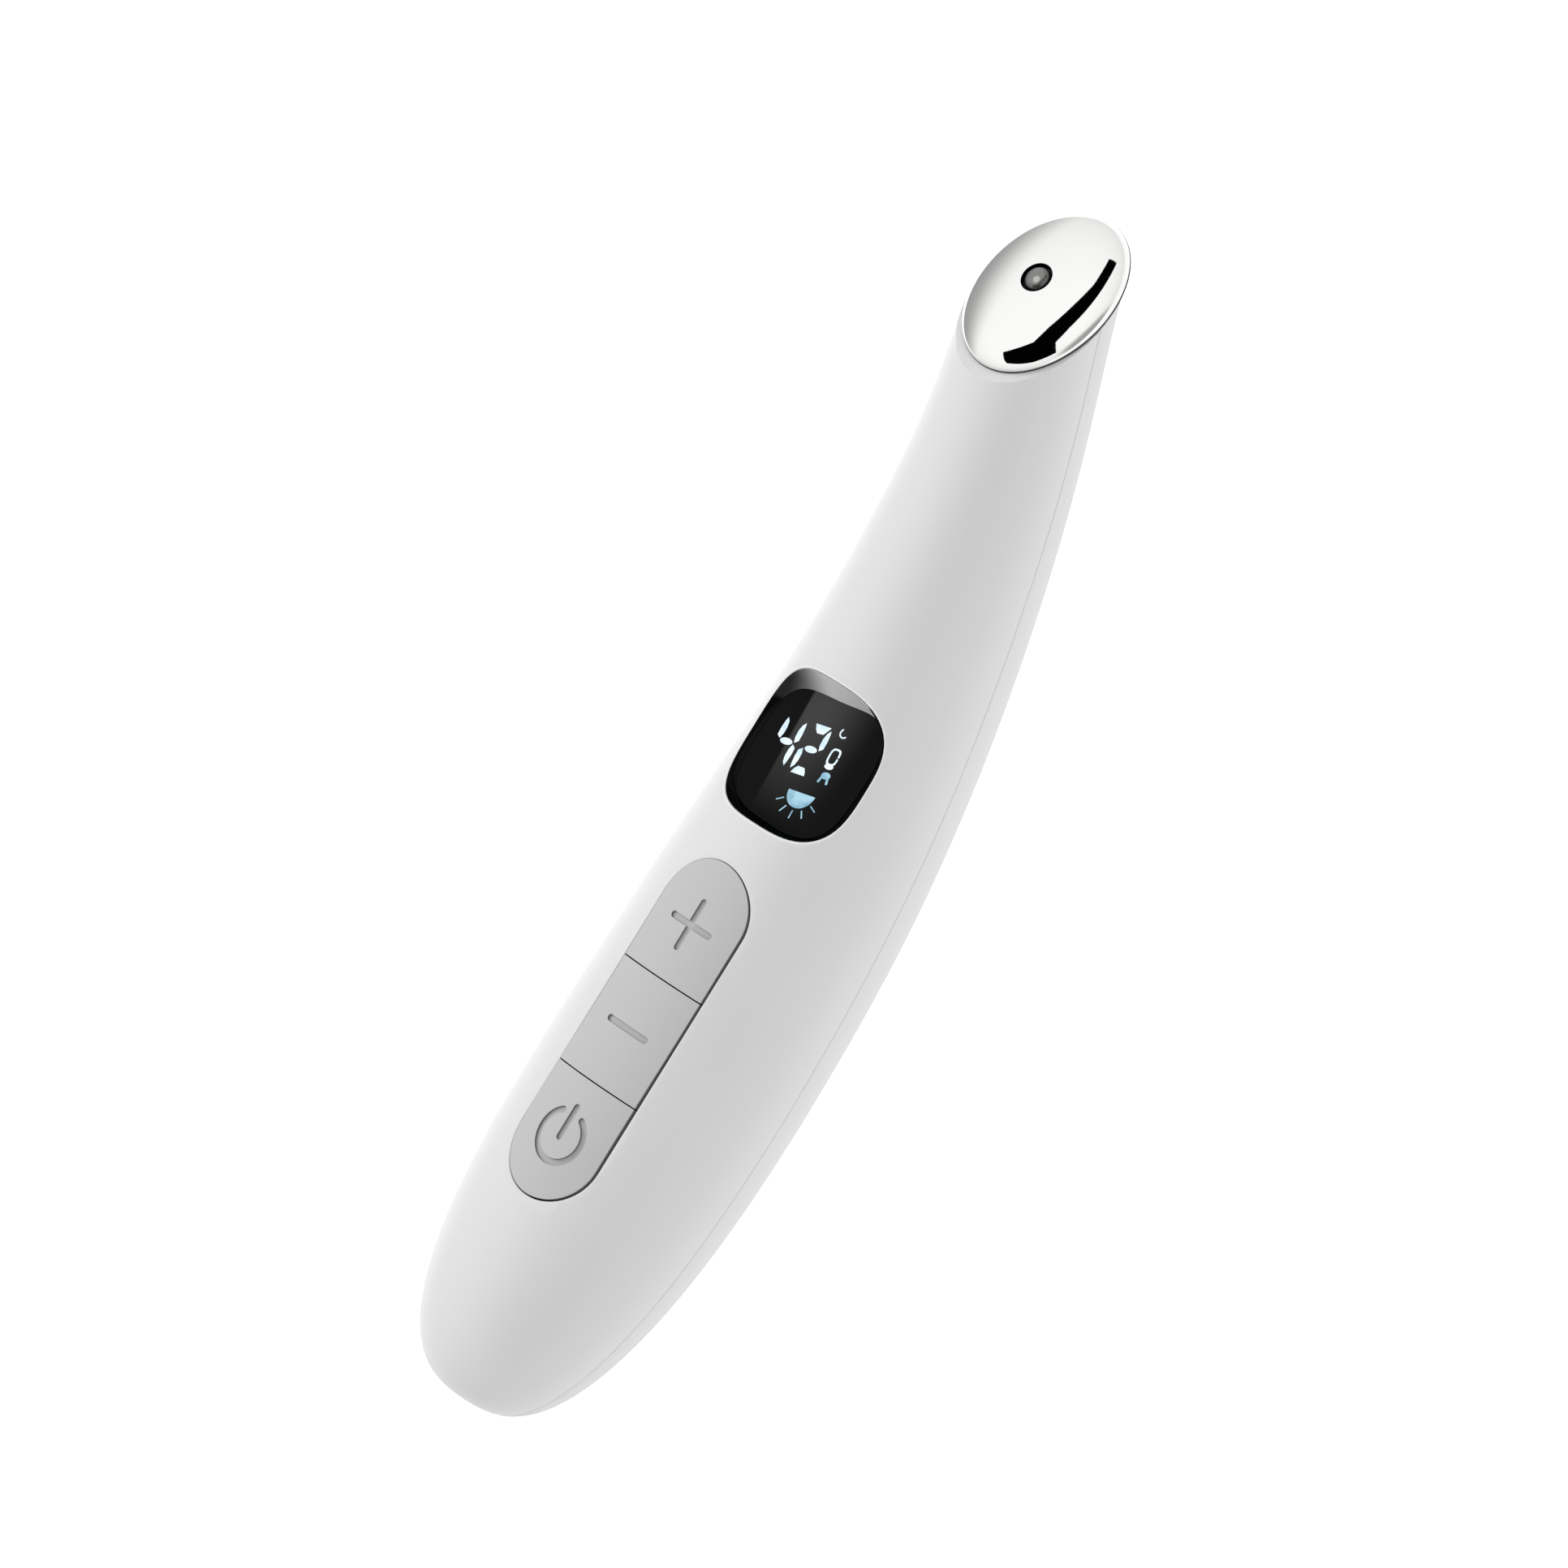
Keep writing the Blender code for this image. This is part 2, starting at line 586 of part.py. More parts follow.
def head_parts(plastic, rubber, lens, board, film, bead, light):
    """What sits under the metal cap, from the lens down to the carrier that closes the neck."""
    under_cap = HEAD_DOME - HEAD_METAL
    ring_top = under_cap - FIT_GAP - LENS_RING_DROP
    outer = (LENS_RING_RADIUS, LENS_RING_RADIUS)
    inner = (LENS_RADIUS + FIT_GAP, LENS_RADIUS + FIT_GAP)
    plate_ring("lens_ring", outer, inner, ring_top - LENS_RING_THICKNESS, ring_top, rubber, HEAD_FRAME)
    shoulder = HEAD_DOME - LENS_SHOULDER_DROP
    rings = [ellipse(LENS_RADIUS, LENS_RADIUS, LENS_FOOT, 20)]
    for turn in (0, 30, 60):
        across = LENS_RADIUS * math.cos(math.radians(turn))
        rings.append(ellipse(across, across, shoulder + LENS_CROWN * math.sin(math.radians(turn)), 20))
    add_object("led_lens", loft(rings), lens, HEAD_FRAME)
    half = HEAD_BOARD_THICKNESS / 2
    disc("head_board", HEAD_BOARD_RADIUS, HEAD_BOARD_RADIUS, -half, half, board, HEAD_FRAME)
    box("light_led", LED_SIZE, (0, 0, LED_HEIGHT), light, HEAD_FRAME)
    outer = (FILM_HALF_WIDTH, FILM_HALF_LENGTH)
    inner = (FILM_HOLE_RADIUS, FILM_HOLE_RADIUS)
    plate_ring("heater_film", outer, inner, -FILM_THICKNESS / 2, FILM_THICKNESS / 2, film, HEAD_FRAME)
    sensor_place = (0, SENSOR_FROM_MIDDLE, SENSOR_HEIGHT)
    box("temperature_sensor", SENSOR_SIZE, sensor_place, bead, HEAD_FRAME, SENSOR_BEVEL)
    top = -half - FIT_GAP
    reach = CARRIER_THICKNESS
    along_neck = Vector((0, reach, axis_z(HEAD_Y) - axis_z(HEAD_Y - reach)))
    along_neck = HEAD_FRAME.to_3x3().inverted() @ along_neck
    lean = along_neck.y / along_neck.z
    loops = []
    for level in (top - CARRIER_THICKNESS, top):
        inside = HEAD_HALF_WIDTH - SIDE_WALL - CARRIER_GAP
        loop = ellipse(inside, inside + HEAD_HALF_LENGTH - HEAD_HALF_WIDTH - CARRIER_SHORTER, level)
        loops.append([(x, y + lean * level, z) for x, y, z in loop])
    add_object("head_carrier", loft(loops), plastic, HEAD_FRAME)


def display_parts(black, glass, foam, module):
    """The recessed black surround, its flat window, the foam behind it and the lit digits' module."""
    half_width = WINDOW_HALF_WIDTH - FIT_GAP
    half_length = WINDOW_HALF_LENGTH - FIT_GAP
    rim = squircle(half_width, half_length, (0, WINDOW_Y))
    lip = squircle(half_width - BEZEL_EDGE, half_length - BEZEL_EDGE, (0, WINDOW_Y))
    to_window = WINDOW_FRAME.inverted()
    foot_length = half_length - (BEZEL_SLOPE_TOP + BEZEL_SLOPE_BOTTOM) / 2
    foot_shift = (BEZEL_SLOPE_BOTTOM - BEZEL_SLOPE_TOP) / 2
    foot = squircle(half_width - BEZEL_SLOPE_SIDE, foot_length, (0, foot_shift))
    outer_top, outer_foot, inner_top = [], [], []
    for (x, y), (lip_x, lip_y) in zip(rim, lip):
        top = to_window @ Vector((x, y, front_z(x, y) - BEZEL_DROP))
        outer_top.append(top)
        outer_foot.append((top.x, top.y, 0.0))
        inner_top.append(to_window @ Vector((lip_x, lip_y, front_z(lip_x, lip_y) - BEZEL_DROP)))
    inner_foot = [(x, y, 0.0) for x, y in foot]
    loops = [outer_foot, outer_top, inner_top, inner_foot]
    add_object("display_bezel", ring_loft(loops), black, WINDOW_FRAME)
    outline = squircle(half_width - GLASS_INSET, half_length - GLASS_INSET)
    level = -FIT_GAP
    lens = [[(x, y, z) for x, y in outline] for z in (level - GLASS_THICKNESS, level)]
    add_object("display_lens", loft(lens), glass, WINDOW_FRAME)
    level -= GLASS_THICKNESS + FIT_GAP
    loops = []
    wide, narrow = GASKET_OUTER_SHARE, GASKET_INNER_SHARE
    for scale, z in ((wide, 0), (wide, 1), (narrow, 1), (narrow, 0)):
        outline = squircle(half_width * scale, half_length * scale)
        loops.append([(x, y, level - GASKET_THICKNESS * z) for x, y in outline])
    add_object("display_gasket", ring_loft(loops), foam, WINDOW_FRAME)
    level -= GASKET_THICKNESS + FIT_GAP
    size = (2 * half_width * MODULE_WIDTH_SHARE, 2 * MODULE_HALF_LENGTH, MODULE_THICKNESS)
    box("display_module", size, (0, 0, level - MODULE_THICKNESS / 2), module, WINDOW_FRAME)


def key_half_width(y):
    """Half width of the row of keys at y, inside the opening's round ends."""
    half_width = KEYPAD_HALF_WIDTH - KEY_GAP
    straight = KEYPAD_LENGTH / 2 - KEYPAD_HALF_WIDTH
    past = max(0.0, abs(y - KEYPAD_Y) - straight)
    return math.sqrt(max(0.0, half_width**2 - past**2))


def key(name, low_y, high_y, stem_y, material):
    """One key, flush with the crowned front, with a stem that reaches down to its switch."""
    half_width = KEYPAD_HALF_WIDTH - KEY_GAP
    straight = KEYPAD_LENGTH / 2 - KEYPAD_HALF_WIDTH
    round_low, round_high = KEYPAD_Y - straight, KEYPAD_Y + straight
    places = [low_y + (high_y - low_y) * i / 6 for i in range(7)]
    if low_y < round_low:
        turns = [math.radians(KEY_END_SWEEP * (1 - i / 6)) for i in range(6)]
        arc = [round_low - half_width * math.sin(turn) for turn in turns]
        places = arc + [round_low + (high_y - round_low) * i / 4 for i in range(5)]
    if high_y > round_high:
        turns = [math.radians(KEY_END_SWEEP * (i + 1) / 6) for i in range(6)]
        arc = [round_high + half_width * math.sin(turn) for turn in turns]
        places = [low_y + (round_high - low_y) * i / 4 for i in range(5)] + arc
    columns = 8
    bm = bmesh.new()
    grids = []
    for drop in (0.0, KEY_THICKNESS):
        grid = []
        for y in places:
            wide = key_half_width(y)
            xs = [wide * (2 * i / columns - 1) for i in range(columns + 1)]
            grid.append([bm.verts.new((x, y, front_z(x, y) - drop)) for x in xs])
        grids.append(grid)
    top, bottom = grids
    rows = len(places)
    for i in range(rows - 1):
        for j in range(columns):
            bm.faces.new((top[i][j], top[i][j + 1], top[i + 1][j + 1], top[i + 1][j]))
            bm.faces.new((bottom[i][j], bottom[i + 1][j], bottom[i + 1][j + 1], bottom[i][j + 1]))
    border = [(i, 0) for i in range(rows)] + [(rows - 1, j) for j in range(1, columns + 1)]
    border += [(i, columns) for i in range(rows - 2, -1, -1)] + [(0, j) for j in range(columns - 1, 0, -1)]
    for (i, j), (m, n) in zip(border, border[1:] + border[:1]):
        bm.faces.new((top[i][j], top[m][n], bottom[m][n], bottom[i][j]))
    origin = (0, stem_y, front_z(0, stem_y))
    obj = add_object(name, bm, material, origin=origin)
    foot = AXIS_HEIGHT + BOARD_TOP + FIT_GAP + SWITCH_HEIGHT + NUB_HEIGHT + KEY_TRAVEL + FIT_GAP / 3
    high = front_z(0, stem_y) - KEY_THICKNESS / 2
    middle = (0, stem_y, (foot + high) / 2)
    stem = cylinder(name + "_stem", STEM_RADIUS, high - foot, middle, (0, 0, 1), None, sides=14)
    combine(obj, stem, "UNION")
    return obj


def switch(name, y, body_material):
    """A small push switch on the board, under a key's stem."""
    foot = AXIS_HEIGHT + BOARD_TOP + FIT_GAP
    size = (SWITCH_SIDE, SWITCH_SIDE, SWITCH_HEIGHT)
    obj = box(name, size, (0, y, foot + SWITCH_HEIGHT / 2), body_material)
    nub_length = NUB_HEIGHT + SWITCH_HEIGHT / 2
    middle = foot + SWITCH_HEIGHT + NUB_HEIGHT - nub_length / 2
    nub = cylinder(name + "_nub", NUB_RADIUS, nub_length, (0, y, middle), (0, 0, 1), None, sides=12)
    combine(obj, nub, "UNION")
    return obj


def main_board(board, chip):
    """The board across the middle of the handle, drilled for its two screws."""
    length = BOARD_NECK_Y - BOARD_TAIL_Y
    middle = (0, BOARD_TAIL_Y + length / 2, AXIS_HEIGHT + BOARD_TOP - BOARD_THICKNESS / 2)
    obj = box("main_board", (2 * BOARD_HALF_WIDTH, length, BOARD_THICKNESS), middle, board)
    for y in SCREW_YS:
        centre = (0, y, middle[2])
        radius = SCREW_RADIUS + FIT_GAP
        hole = cylinder("board_hole", radius, BOARD_HOLE_LENGTH, centre, (0, 0, 1), None, sides=12)
        combine(obj, hole, "DIFFERENCE")
    chip_z = AXIS_HEIGHT + BOARD_TOP + FIT_GAP + CHIP_HEIGHT / 2
    chip_y = KEYPAD_Y + CHIP_FROM_KEYPAD
    box("controller_chip", (CHIP_SIDE, CHIP_SIDE, CHIP_HEIGHT), (0, chip_y, chip_z), chip)


def board_screws(steel):
    """Two screws that hold the board up against the front shell's posts."""
    under = AXIS_HEIGHT + BOARD_TOP - BOARD_THICKNESS - FIT_GAP
    for number, y in enumerate(SCREW_YS, 1):
        top = under + BOARD_THICKNESS + SCREW_LENGTH / 2
        head, shank = SCREW_HEAD_RADIUS, SCREW_RADIUS
        loops = []
        for radius, level in ((head, under - SCREW_HEAD_HEIGHT), (head, under), (shank, under), (shank, top)):
            loops.append([(x, y + side, z) for x, side, z in ellipse(radius, radius, level, 12)])
        add_object(f"board_screw_{number}", loft(loops), steel)


def battery(cell, tray, red, black):
    """A slim lithium cell in a plastic tray, with its two leads up to the board."""
    z = AXIS_HEIGHT + CELL_HEIGHT
    middle = (0, CELL_TAIL_Y + CELL_LENGTH / 2, z)
    cylinder("battery_cell", CELL_RADIUS, CELL_LENGTH, middle, (0, 1, 0), cell, sides=24)
    inner = CELL_RADIUS + FIT_GAP
    half_ring("battery_tray", inner, inner + TRAY_THICKNESS, TRAY_LENGTH, middle, tray)
    end = CELL_TAIL_Y + CELL_LENGTH + FIT_GAP
    high = AXIS_HEIGHT + BOARD_TOP - BOARD_THICKNESS - FIT_GAP
    for name, side, material in (("battery_lead_red", 1, red), ("battery_lead_black", -1, black)):
        x = side * LEAD_SPREAD
        rising = [(x, end + 0.0022, z + 0.0008), (x, end + 0.0034, z + 0.003)]
        tube(name, [(x, end, z)] + rising + [(x, end + 0.0036, high)], LEAD_RADIUS, material)


def half_ring(name, inner, outer, length, centre, material, frame=None):
    """The lower half of a thick ring, drawn out along Y: a trough that something round lies in."""
    steps = 12
    loops = []
    for end in (-0.5, 0.5):
        loop = []
        for radius, order in ((outer, range(steps + 1)), (inner, range(steps, -1, -1))):
            for i in order:
                turn = math.pi * (1 + i / steps)
                loop.append(
                    (
                        centre[0] + radius * math.cos(turn),
                        centre[1] + end * length,
                        centre[2] + radius * math.sin(turn),
                    )
                )
        loops.append(loop)
    return add_object(name, loft(loops), material, frame)


def charging_port(steel, tongue, board, red, black):
    """The charging socket in the tail, on its own small board."""
    z = AXIS_HEIGHT + PORT_HEIGHT
    mouth = PORT_LAND_Y + FIT_GAP
    back = PORT_BACK_Y
    loops = []
    for drawn_in, y in ((0, back), (0, mouth), (PORT_METAL, mouth), (PORT_METAL, back - PORT_METAL)):
        half_height = PORT_THICKNESS / 2 - drawn_in
        outline = stadium(half_height, PORT_WIDTH / 2 - drawn_in, (0, z), steps=6, upright=False)
        loops.append([(x, y, height) for x, height in outline])
    add_object("usb_port_shell", loft(loops), steel)
    tongue_length = PORT_LENGTH - PORT_METAL - 2 * FIT_GAP - TONGUE_SET_BACK
    tongue_y = back - PORT_METAL - FIT_GAP - tongue_length / 2
    box("usb_port_tongue", (TONGUE_WIDTH, tongue_length, TONGUE_THICKNESS), (0, tongue_y, z), tongue)
    low = z + PORT_THICKNESS / 2 + FIT_GAP
    middle = (0, CHARGE_BOARD_Y, low + CHARGE_BOARD_THICKNESS / 2)
    size = (CHARGE_BOARD_WIDTH, CHARGE_BOARD_LENGTH, CHARGE_BOARD_THICKNESS)
    box("charge_board", size, middle, board)
    top = low + CHARGE_BOARD_THICKNESS + FIT_GAP + LEAD_RADIUS
    high = AXIS_HEIGHT + BOARD_TOP - BOARD_THICKNESS - FIT_GAP - LEAD_RADIUS
    end = CHARGE_BOARD_Y + CHARGE_BOARD_LENGTH / 2
    for name, side, material in (("charge_lead_red", 1, red), ("charge_lead_black", -1, black)):
        x = side * LEAD_SPREAD
        rising = [(x, end - 0.001, top + 0.0002), (x, end + 0.001, high - 0.0002)]
        tube(name, [(x, end - 0.003, top)] + rising + [(x, end + 0.004, high)], LEAD_RADIUS, material)


def motor(steel, plastic, brass, rubber, red, black):
    """The vibration motor, lying along the neck in a cradle, with an off-centre weight on its shaft."""
    can_end = MOTOR_LENGTH / 2
    cylinder("motor_can", MOTOR_RADIUS, MOTOR_LENGTH, (0, 0, 0), (0, 1, 0), steel, MOTOR_FRAME)
    cap_y = -can_end - FIT_GAP - MOTOR_CAP_LENGTH / 2
    along = (0, 1, 0)
    cap_radius = MOTOR_RADIUS - MOTOR_CAP_INSET
    cylinder("motor_end_cap", cap_radius, MOTOR_CAP_LENGTH, (0, cap_y, 0), along, plastic, MOTOR_FRAME)
    shaft_y = can_end + FIT_GAP + SHAFT_LENGTH / 2
    cylinder("motor_shaft", SHAFT_RADIUS, SHAFT_LENGTH, (0, shaft_y, 0), along, steel, MOTOR_FRAME, 12)
    steps = 10
    loops = []
    hub = SHAFT_RADIUS + FIT_GAP
    for end in (-0.5, 0.5):
        loop = []
        for i in range(steps + 1):
            turn = math.pi * (1 + i / steps)
            across, up = WEIGHT_RADIUS * math.cos(turn), WEIGHT_RADIUS * math.sin(turn)
            loop.append((across, shaft_y + end * WEIGHT_LENGTH, up))
        loop.append((hub, shaft_y + end * WEIGHT_LENGTH, 0.0))
        for i in range(1, 6):
            turn = -math.pi * i / 6
            across, up = hub * math.cos(turn), hub * math.sin(turn)
            loop.append((across, shaft_y + end * WEIGHT_LENGTH, up))
        loop.append((-hub, shaft_y + end * WEIGHT_LENGTH, 0.0))
        loops.append(loop)
    add_object("eccentric_weight", loft(loops), brass, MOTOR_FRAME)
    inner = MOTOR_RADIUS + FIT_GAP
    half_ring("motor_cradle", inner, inner + CRADLE_THICKNESS, CRADLE_LENGTH, (0, 0, 0), rubber, MOTOR_FRAME)
    back = cap_y - MOTOR_CAP_LENGTH / 2 - FIT_GAP - LEAD_RADIUS
    board_z = AXIS_HEIGHT + BOARD_TOP - BOARD_THICKNESS / 2
    for name, side, material in (("motor_lead_red", 1, red), ("motor_lead_black", -1, black)):
        start = MOTOR_FRAME @ Vector((side * MOTOR_LEAD_SPREAD, back, 0))
        end = Vector((side * LEAD_SPREAD, BOARD_NECK_Y + FIT_GAP + LEAD_RADIUS, board_z))
        bow = start.lerp(end, 0.5) + Vector((side * MOTOR_LEAD_BOW, 0, -MOTOR_LEAD_BOW))
        tube(name, [start, bow, end], LEAD_RADIUS, material)


def head_ribbon(film):
    """The flat flexible cable that runs down the front of the neck from the head to the board."""
    high_y = HEAD_Y - RIBBON_FROM_HEAD
    low_y = BOARD_NECK_Y + RIBBON_FROM_BOARD
    steps = 12
    loops = []
    for i in range(steps + 1):
        y = high_y + (low_y - high_y) * i / steps
        z = axis_z(y) + RIBBON_RISE
        half = RIBBON_WIDTH / 2
        loops.append(
            [
                (-half, y, z),
                (half, y, z),
                (half, y, z + RIBBON_THICKNESS),
                (-half, y, z + RIBBON_THICKNESS),
            ]
        )
    add_object("head_ribbon", loft(loops), film)


def build():
    clear_scene()
    white = plain_material("white_plastic", (0.82, 0.82, 0.81), 0.35)
    key_grey = plain_material("grey_key_plastic", (0.62, 0.62, 0.62), 0.45)
    chrome = plain_material("chrome", (0.9, 0.9, 0.89), 0.06, 1.0)
    black_gloss = plain_material("black_gloss_plastic", (0.012, 0.012, 0.014), 0.12)
    smoked = plain_material("smoked_window", (0.01, 0.01, 0.012), 0.05)
    rubber = plain_material("black_rubber", (0.03, 0.03, 0.03), 0.7)
    lens = plain_material("light_lens", (0.42, 0.41, 0.4), 0.2)
    natural = plain_material("natural_plastic", (0.75, 0.74, 0.7), 0.5)
    green = plain_material("green_board", (0.03, 0.22, 0.09), 0.5)
    steel = plain_material("steel", (0.6, 0.6, 0.6), 0.3, 1.0)
    tungsten = plain_material("weight_metal", (0.45, 0.42, 0.36), 0.35, 1.0)
    amber = plain_material("amber_film", (0.75, 0.38, 0.06), 0.4)
    bead = plain_material("sensor_bead", (0.05, 0.05, 0.05), 0.4)
    yellow = plain_material("yellow_led", (0.9, 0.82, 0.3), 0.4)
    foam = plain_material("grey_foam", (0.2, 0.2, 0.2), 0.9)
    chip = plain_material("chip_black", (0.02, 0.02, 0.02), 0.5)
    blue = plain_material("battery_sleeve", (0.05, 0.2, 0.55), 0.4)
    red = plain_material("red_lead", (0.6, 0.03, 0.02), 0.5)
    black = plain_material("black_lead", (0.02, 0.02, 0.02), 0.5)

    front_shell(white)
    back_shell(white)
    head_cap(chrome)
    head_parts(natural, rubber, lens, green, amber, bead, yellow)
    display_parts(black_gloss, smoked, foam, chip)

    half_gap = KEY_GAP / 2
    keypad_low = KEYPAD_Y - KEYPAD_LENGTH / 2 + KEY_GAP
    keypad_high = KEYPAD_Y + KEYPAD_LENGTH / 2 - KEY_GAP
    upper_line = KEYPAD_Y + PLUS_MINUS_LINE
    lower_line = KEYPAD_Y + MINUS_POWER_LINE
    keys = (
        ("plus", upper_line + half_gap, keypad_high),
        ("minus", lower_line + half_gap, upper_line - half_gap),
        ("power", keypad_low, lower_line - half_gap),
    )
    for name, low_y, high_y in keys:
        stem_y = (low_y + high_y) / 2
        key(f"{name}_button", low_y, high_y, stem_y, key_grey)
        switch(f"{name}_switch", stem_y, chip)

    main_board(green, chip)
    board_screws(steel)
    battery(blue, natural, red, black)
    charging_port(steel, chip, green, red, black)
    motor(steel, natural, tungsten, rubber, red, black)
    head_ribbon(amber)


build()
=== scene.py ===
import math

import bmesh
import bpy
import numpy as np
from mathutils import Matrix, Vector


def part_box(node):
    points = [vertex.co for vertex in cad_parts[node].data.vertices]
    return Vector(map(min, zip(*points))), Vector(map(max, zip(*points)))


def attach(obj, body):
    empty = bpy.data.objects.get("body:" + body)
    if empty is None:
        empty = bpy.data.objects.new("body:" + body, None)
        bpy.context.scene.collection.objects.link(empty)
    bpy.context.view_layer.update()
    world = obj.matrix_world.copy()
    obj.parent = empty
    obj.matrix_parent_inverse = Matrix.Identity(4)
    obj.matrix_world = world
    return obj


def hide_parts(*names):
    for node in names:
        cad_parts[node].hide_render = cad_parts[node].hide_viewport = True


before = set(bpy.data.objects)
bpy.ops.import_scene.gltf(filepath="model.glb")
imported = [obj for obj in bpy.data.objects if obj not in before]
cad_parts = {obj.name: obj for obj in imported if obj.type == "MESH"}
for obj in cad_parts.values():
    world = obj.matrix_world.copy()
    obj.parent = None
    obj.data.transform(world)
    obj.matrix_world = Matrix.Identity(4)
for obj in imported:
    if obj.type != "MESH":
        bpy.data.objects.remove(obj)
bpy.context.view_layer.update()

# The place for the picture: the wand seen from its front right, rolled as if it leant to the right,
# in a white room that is dimmer at its left and, in gloss, brighter but for its far right.
scene = bpy.context.scene
scene.view_settings.view_transform = "Standard"
swing = math.atan2(3, 4)
lift = math.radians(2.3)
roll = math.radians(30.9)
aim = Vector((0.00005, 0.02775, 0.02325))
stand_off = 0.8
to_camera = Vector((math.sin(swing) * math.cos(lift), math.sin(lift), math.cos(swing) * math.cos(lift)))
level = Vector((0, 1, 0)).cross(to_camera).normalized()
upright = to_camera.cross(level)
across = level * math.cos(roll) + upright * math.sin(roll)
upward = to_camera.cross(across)
bpy.ops.object.select_all(action="DESELECT")
bpy.ops.object.camera_add(location=aim + to_camera * stand_off)
camera = bpy.context.object
camera.name = "camera"
camera.rotation_euler = Matrix((across, upward, to_camera)).transposed().to_euler()
camera.data.lens = 163.3
scene.camera = camera


def add_node(tree, kind, links=(), values=(), **settings):
    """A node with its settings, its values by input name and its links from other nodes' outputs."""
    node = tree.nodes.new(kind)
    for label, value in settings.items():
        setattr(node, label, value)
    for label, value in values:
        node.inputs[label].default_value = value
    for label, output in links:
        tree.links.new(output, node.inputs[label])
    return node


world = bpy.data.worlds.new("white_room")
world.use_nodes = True
scene.world = world
room = world.node_tree
glow = room.nodes["Background"]
glow.inputs["Color"].default_value = (1, 1, 1, 1)
direction = add_node(room, "ShaderNodeTexCoord")
towards = add_node(room, "ShaderNodeSeparateXYZ", [("Vector", direction.outputs["Generated"])])
fade = add_node(
    room,
    "ShaderNodeMapRange",
    [("Value", towards.outputs["Z"])],
    [("From Min", -0.2), ("From Max", 0.8), ("To Min", 0.55), ("To Max", 0.715)],
)
left_fade = add_node(
    room,
    "ShaderNodeMapRange",
    [("Value", towards.outputs["X"])],
    [("From Min", -1.0), ("From Max", -0.7), ("To Min", 0.42), ("To Max", 1.0)],
    interpolation_type="SMOOTHSTEP",
)
right_fade = add_node(
    room,
    "ShaderNodeMapRange",
    [("Value", towards.outputs["X"])],
    [("From Min", 0.8), ("From Max", 0.97), ("To Min", 1.46), ("To Max", 0.6)],
    interpolation_type="SMOOTHSTEP",
)
ray = add_node(room, "ShaderNodeLightPath")
in_gloss = add_node(
    room,
    "ShaderNodeMapRange",
    [("Value", ray.outputs["Is Glossy Ray"]), ("To Max", right_fade.outputs["Result"])],
    [("To Min", 1.0)],
)
faded = add_node(
    room, "ShaderNodeMath", [(0, fade.outputs[0]), (1, left_fade.outputs[0])], operation="MULTIPLY"
)
brighter = add_node(
    room, "ShaderNodeMath", [(0, faded.outputs[0]), (1, in_gloss.outputs[0])], operation="MULTIPLY"
)
room.links.new(brighter.outputs[0], glow.inputs["Strength"])

# Table: a white sheet well below the wand, which glows as the camera sees it, and a third as strongly
# on the wand, so that the underside keeps its shade
table_height = -0.16
bpy.ops.mesh.primitive_plane_add(size=2.4, location=(0, 0, table_height))
table = bpy.context.object
table.name = "pale_table"
white_sheet = bpy.data.materials.new("white_sheet")
white_sheet.use_nodes = True
sheet = white_sheet.node_tree.nodes["Principled BSDF"]
sheet.inputs["Base Color"].default_value = (0.9, 0.9, 0.9, 1)
sheet.inputs["Emission Strength"].default_value = 0.75
ray = add_node(white_sheet.node_tree, "ShaderNodeLightPath")
softer_on_wand = add_node(
    white_sheet.node_tree,
    "ShaderNodeMapRange",
    [("Value", ray.outputs["Is Camera Ray"])],
    [("To Min", 0.35), ("To Max", 1.0)],
)
white_sheet.node_tree.links.new(softer_on_wand.outputs["Result"], sheet.inputs["Emission Color"])
table.data.materials.append(white_sheet)

# Overhead card: a long dark strip that turns a corner at the tail end and shows only in gloss
black_card = bpy.data.materials.new("black_card")
black_card.use_nodes = True
shader = black_card.node_tree.nodes["Principled BSDF"]
shader.inputs["Base Color"].default_value = (0, 0, 0, 1)
shader.inputs["Specular IOR Level"].default_value = 0
card_height = 0.93
card_corners = (
    (-0.15, 1.7), (0.35, 2.6), (0.31, 1.4), (0.3, 0.74), (0.29, 0.37), (0.36, 0.12), (1.3, -0.5),
    (0.75, -0.95), (-0.1, -0.8), (-0.33, -0.17), (-0.06, 0.13), (-0.09, 0.34), (-0.07, 0.58), (-0.03, 0.9),
)
bpy.ops.object.select_all(action="DESELECT")
bpy.ops.mesh.primitive_circle_add(vertices=len(card_corners), fill_type="NGON", location=(0, 0, card_height))
card = bpy.context.object
card.name = "overhead_card"
for corner, (x, y) in zip(card.data.vertices, card_corners):
    corner.co = (x, y, 0)
card.data.materials.append(black_card)
card.visible_camera = False
card.visible_diffuse = False
card.visible_shadow = False


def add_lamp(name, place, size, power):
    """A soft box that faces the wand."""
    bpy.ops.object.light_add(type="AREA", location=place)
    lamp = bpy.context.object
    lamp.name = name
    lamp.rotation_euler = (Vector(place) - aim).to_track_quat("Z", "Y").to_euler()
    lamp.data.size = size
    lamp.data.energy = power
    lamp.visible_glossy = False


add_lamp("left_soft_box", (-0.9, 0.1, 0.6), 0.5, 5.5)
add_lamp("right_soft_box", (0.9, 0.2, 0.1), 0.5, 0.8)


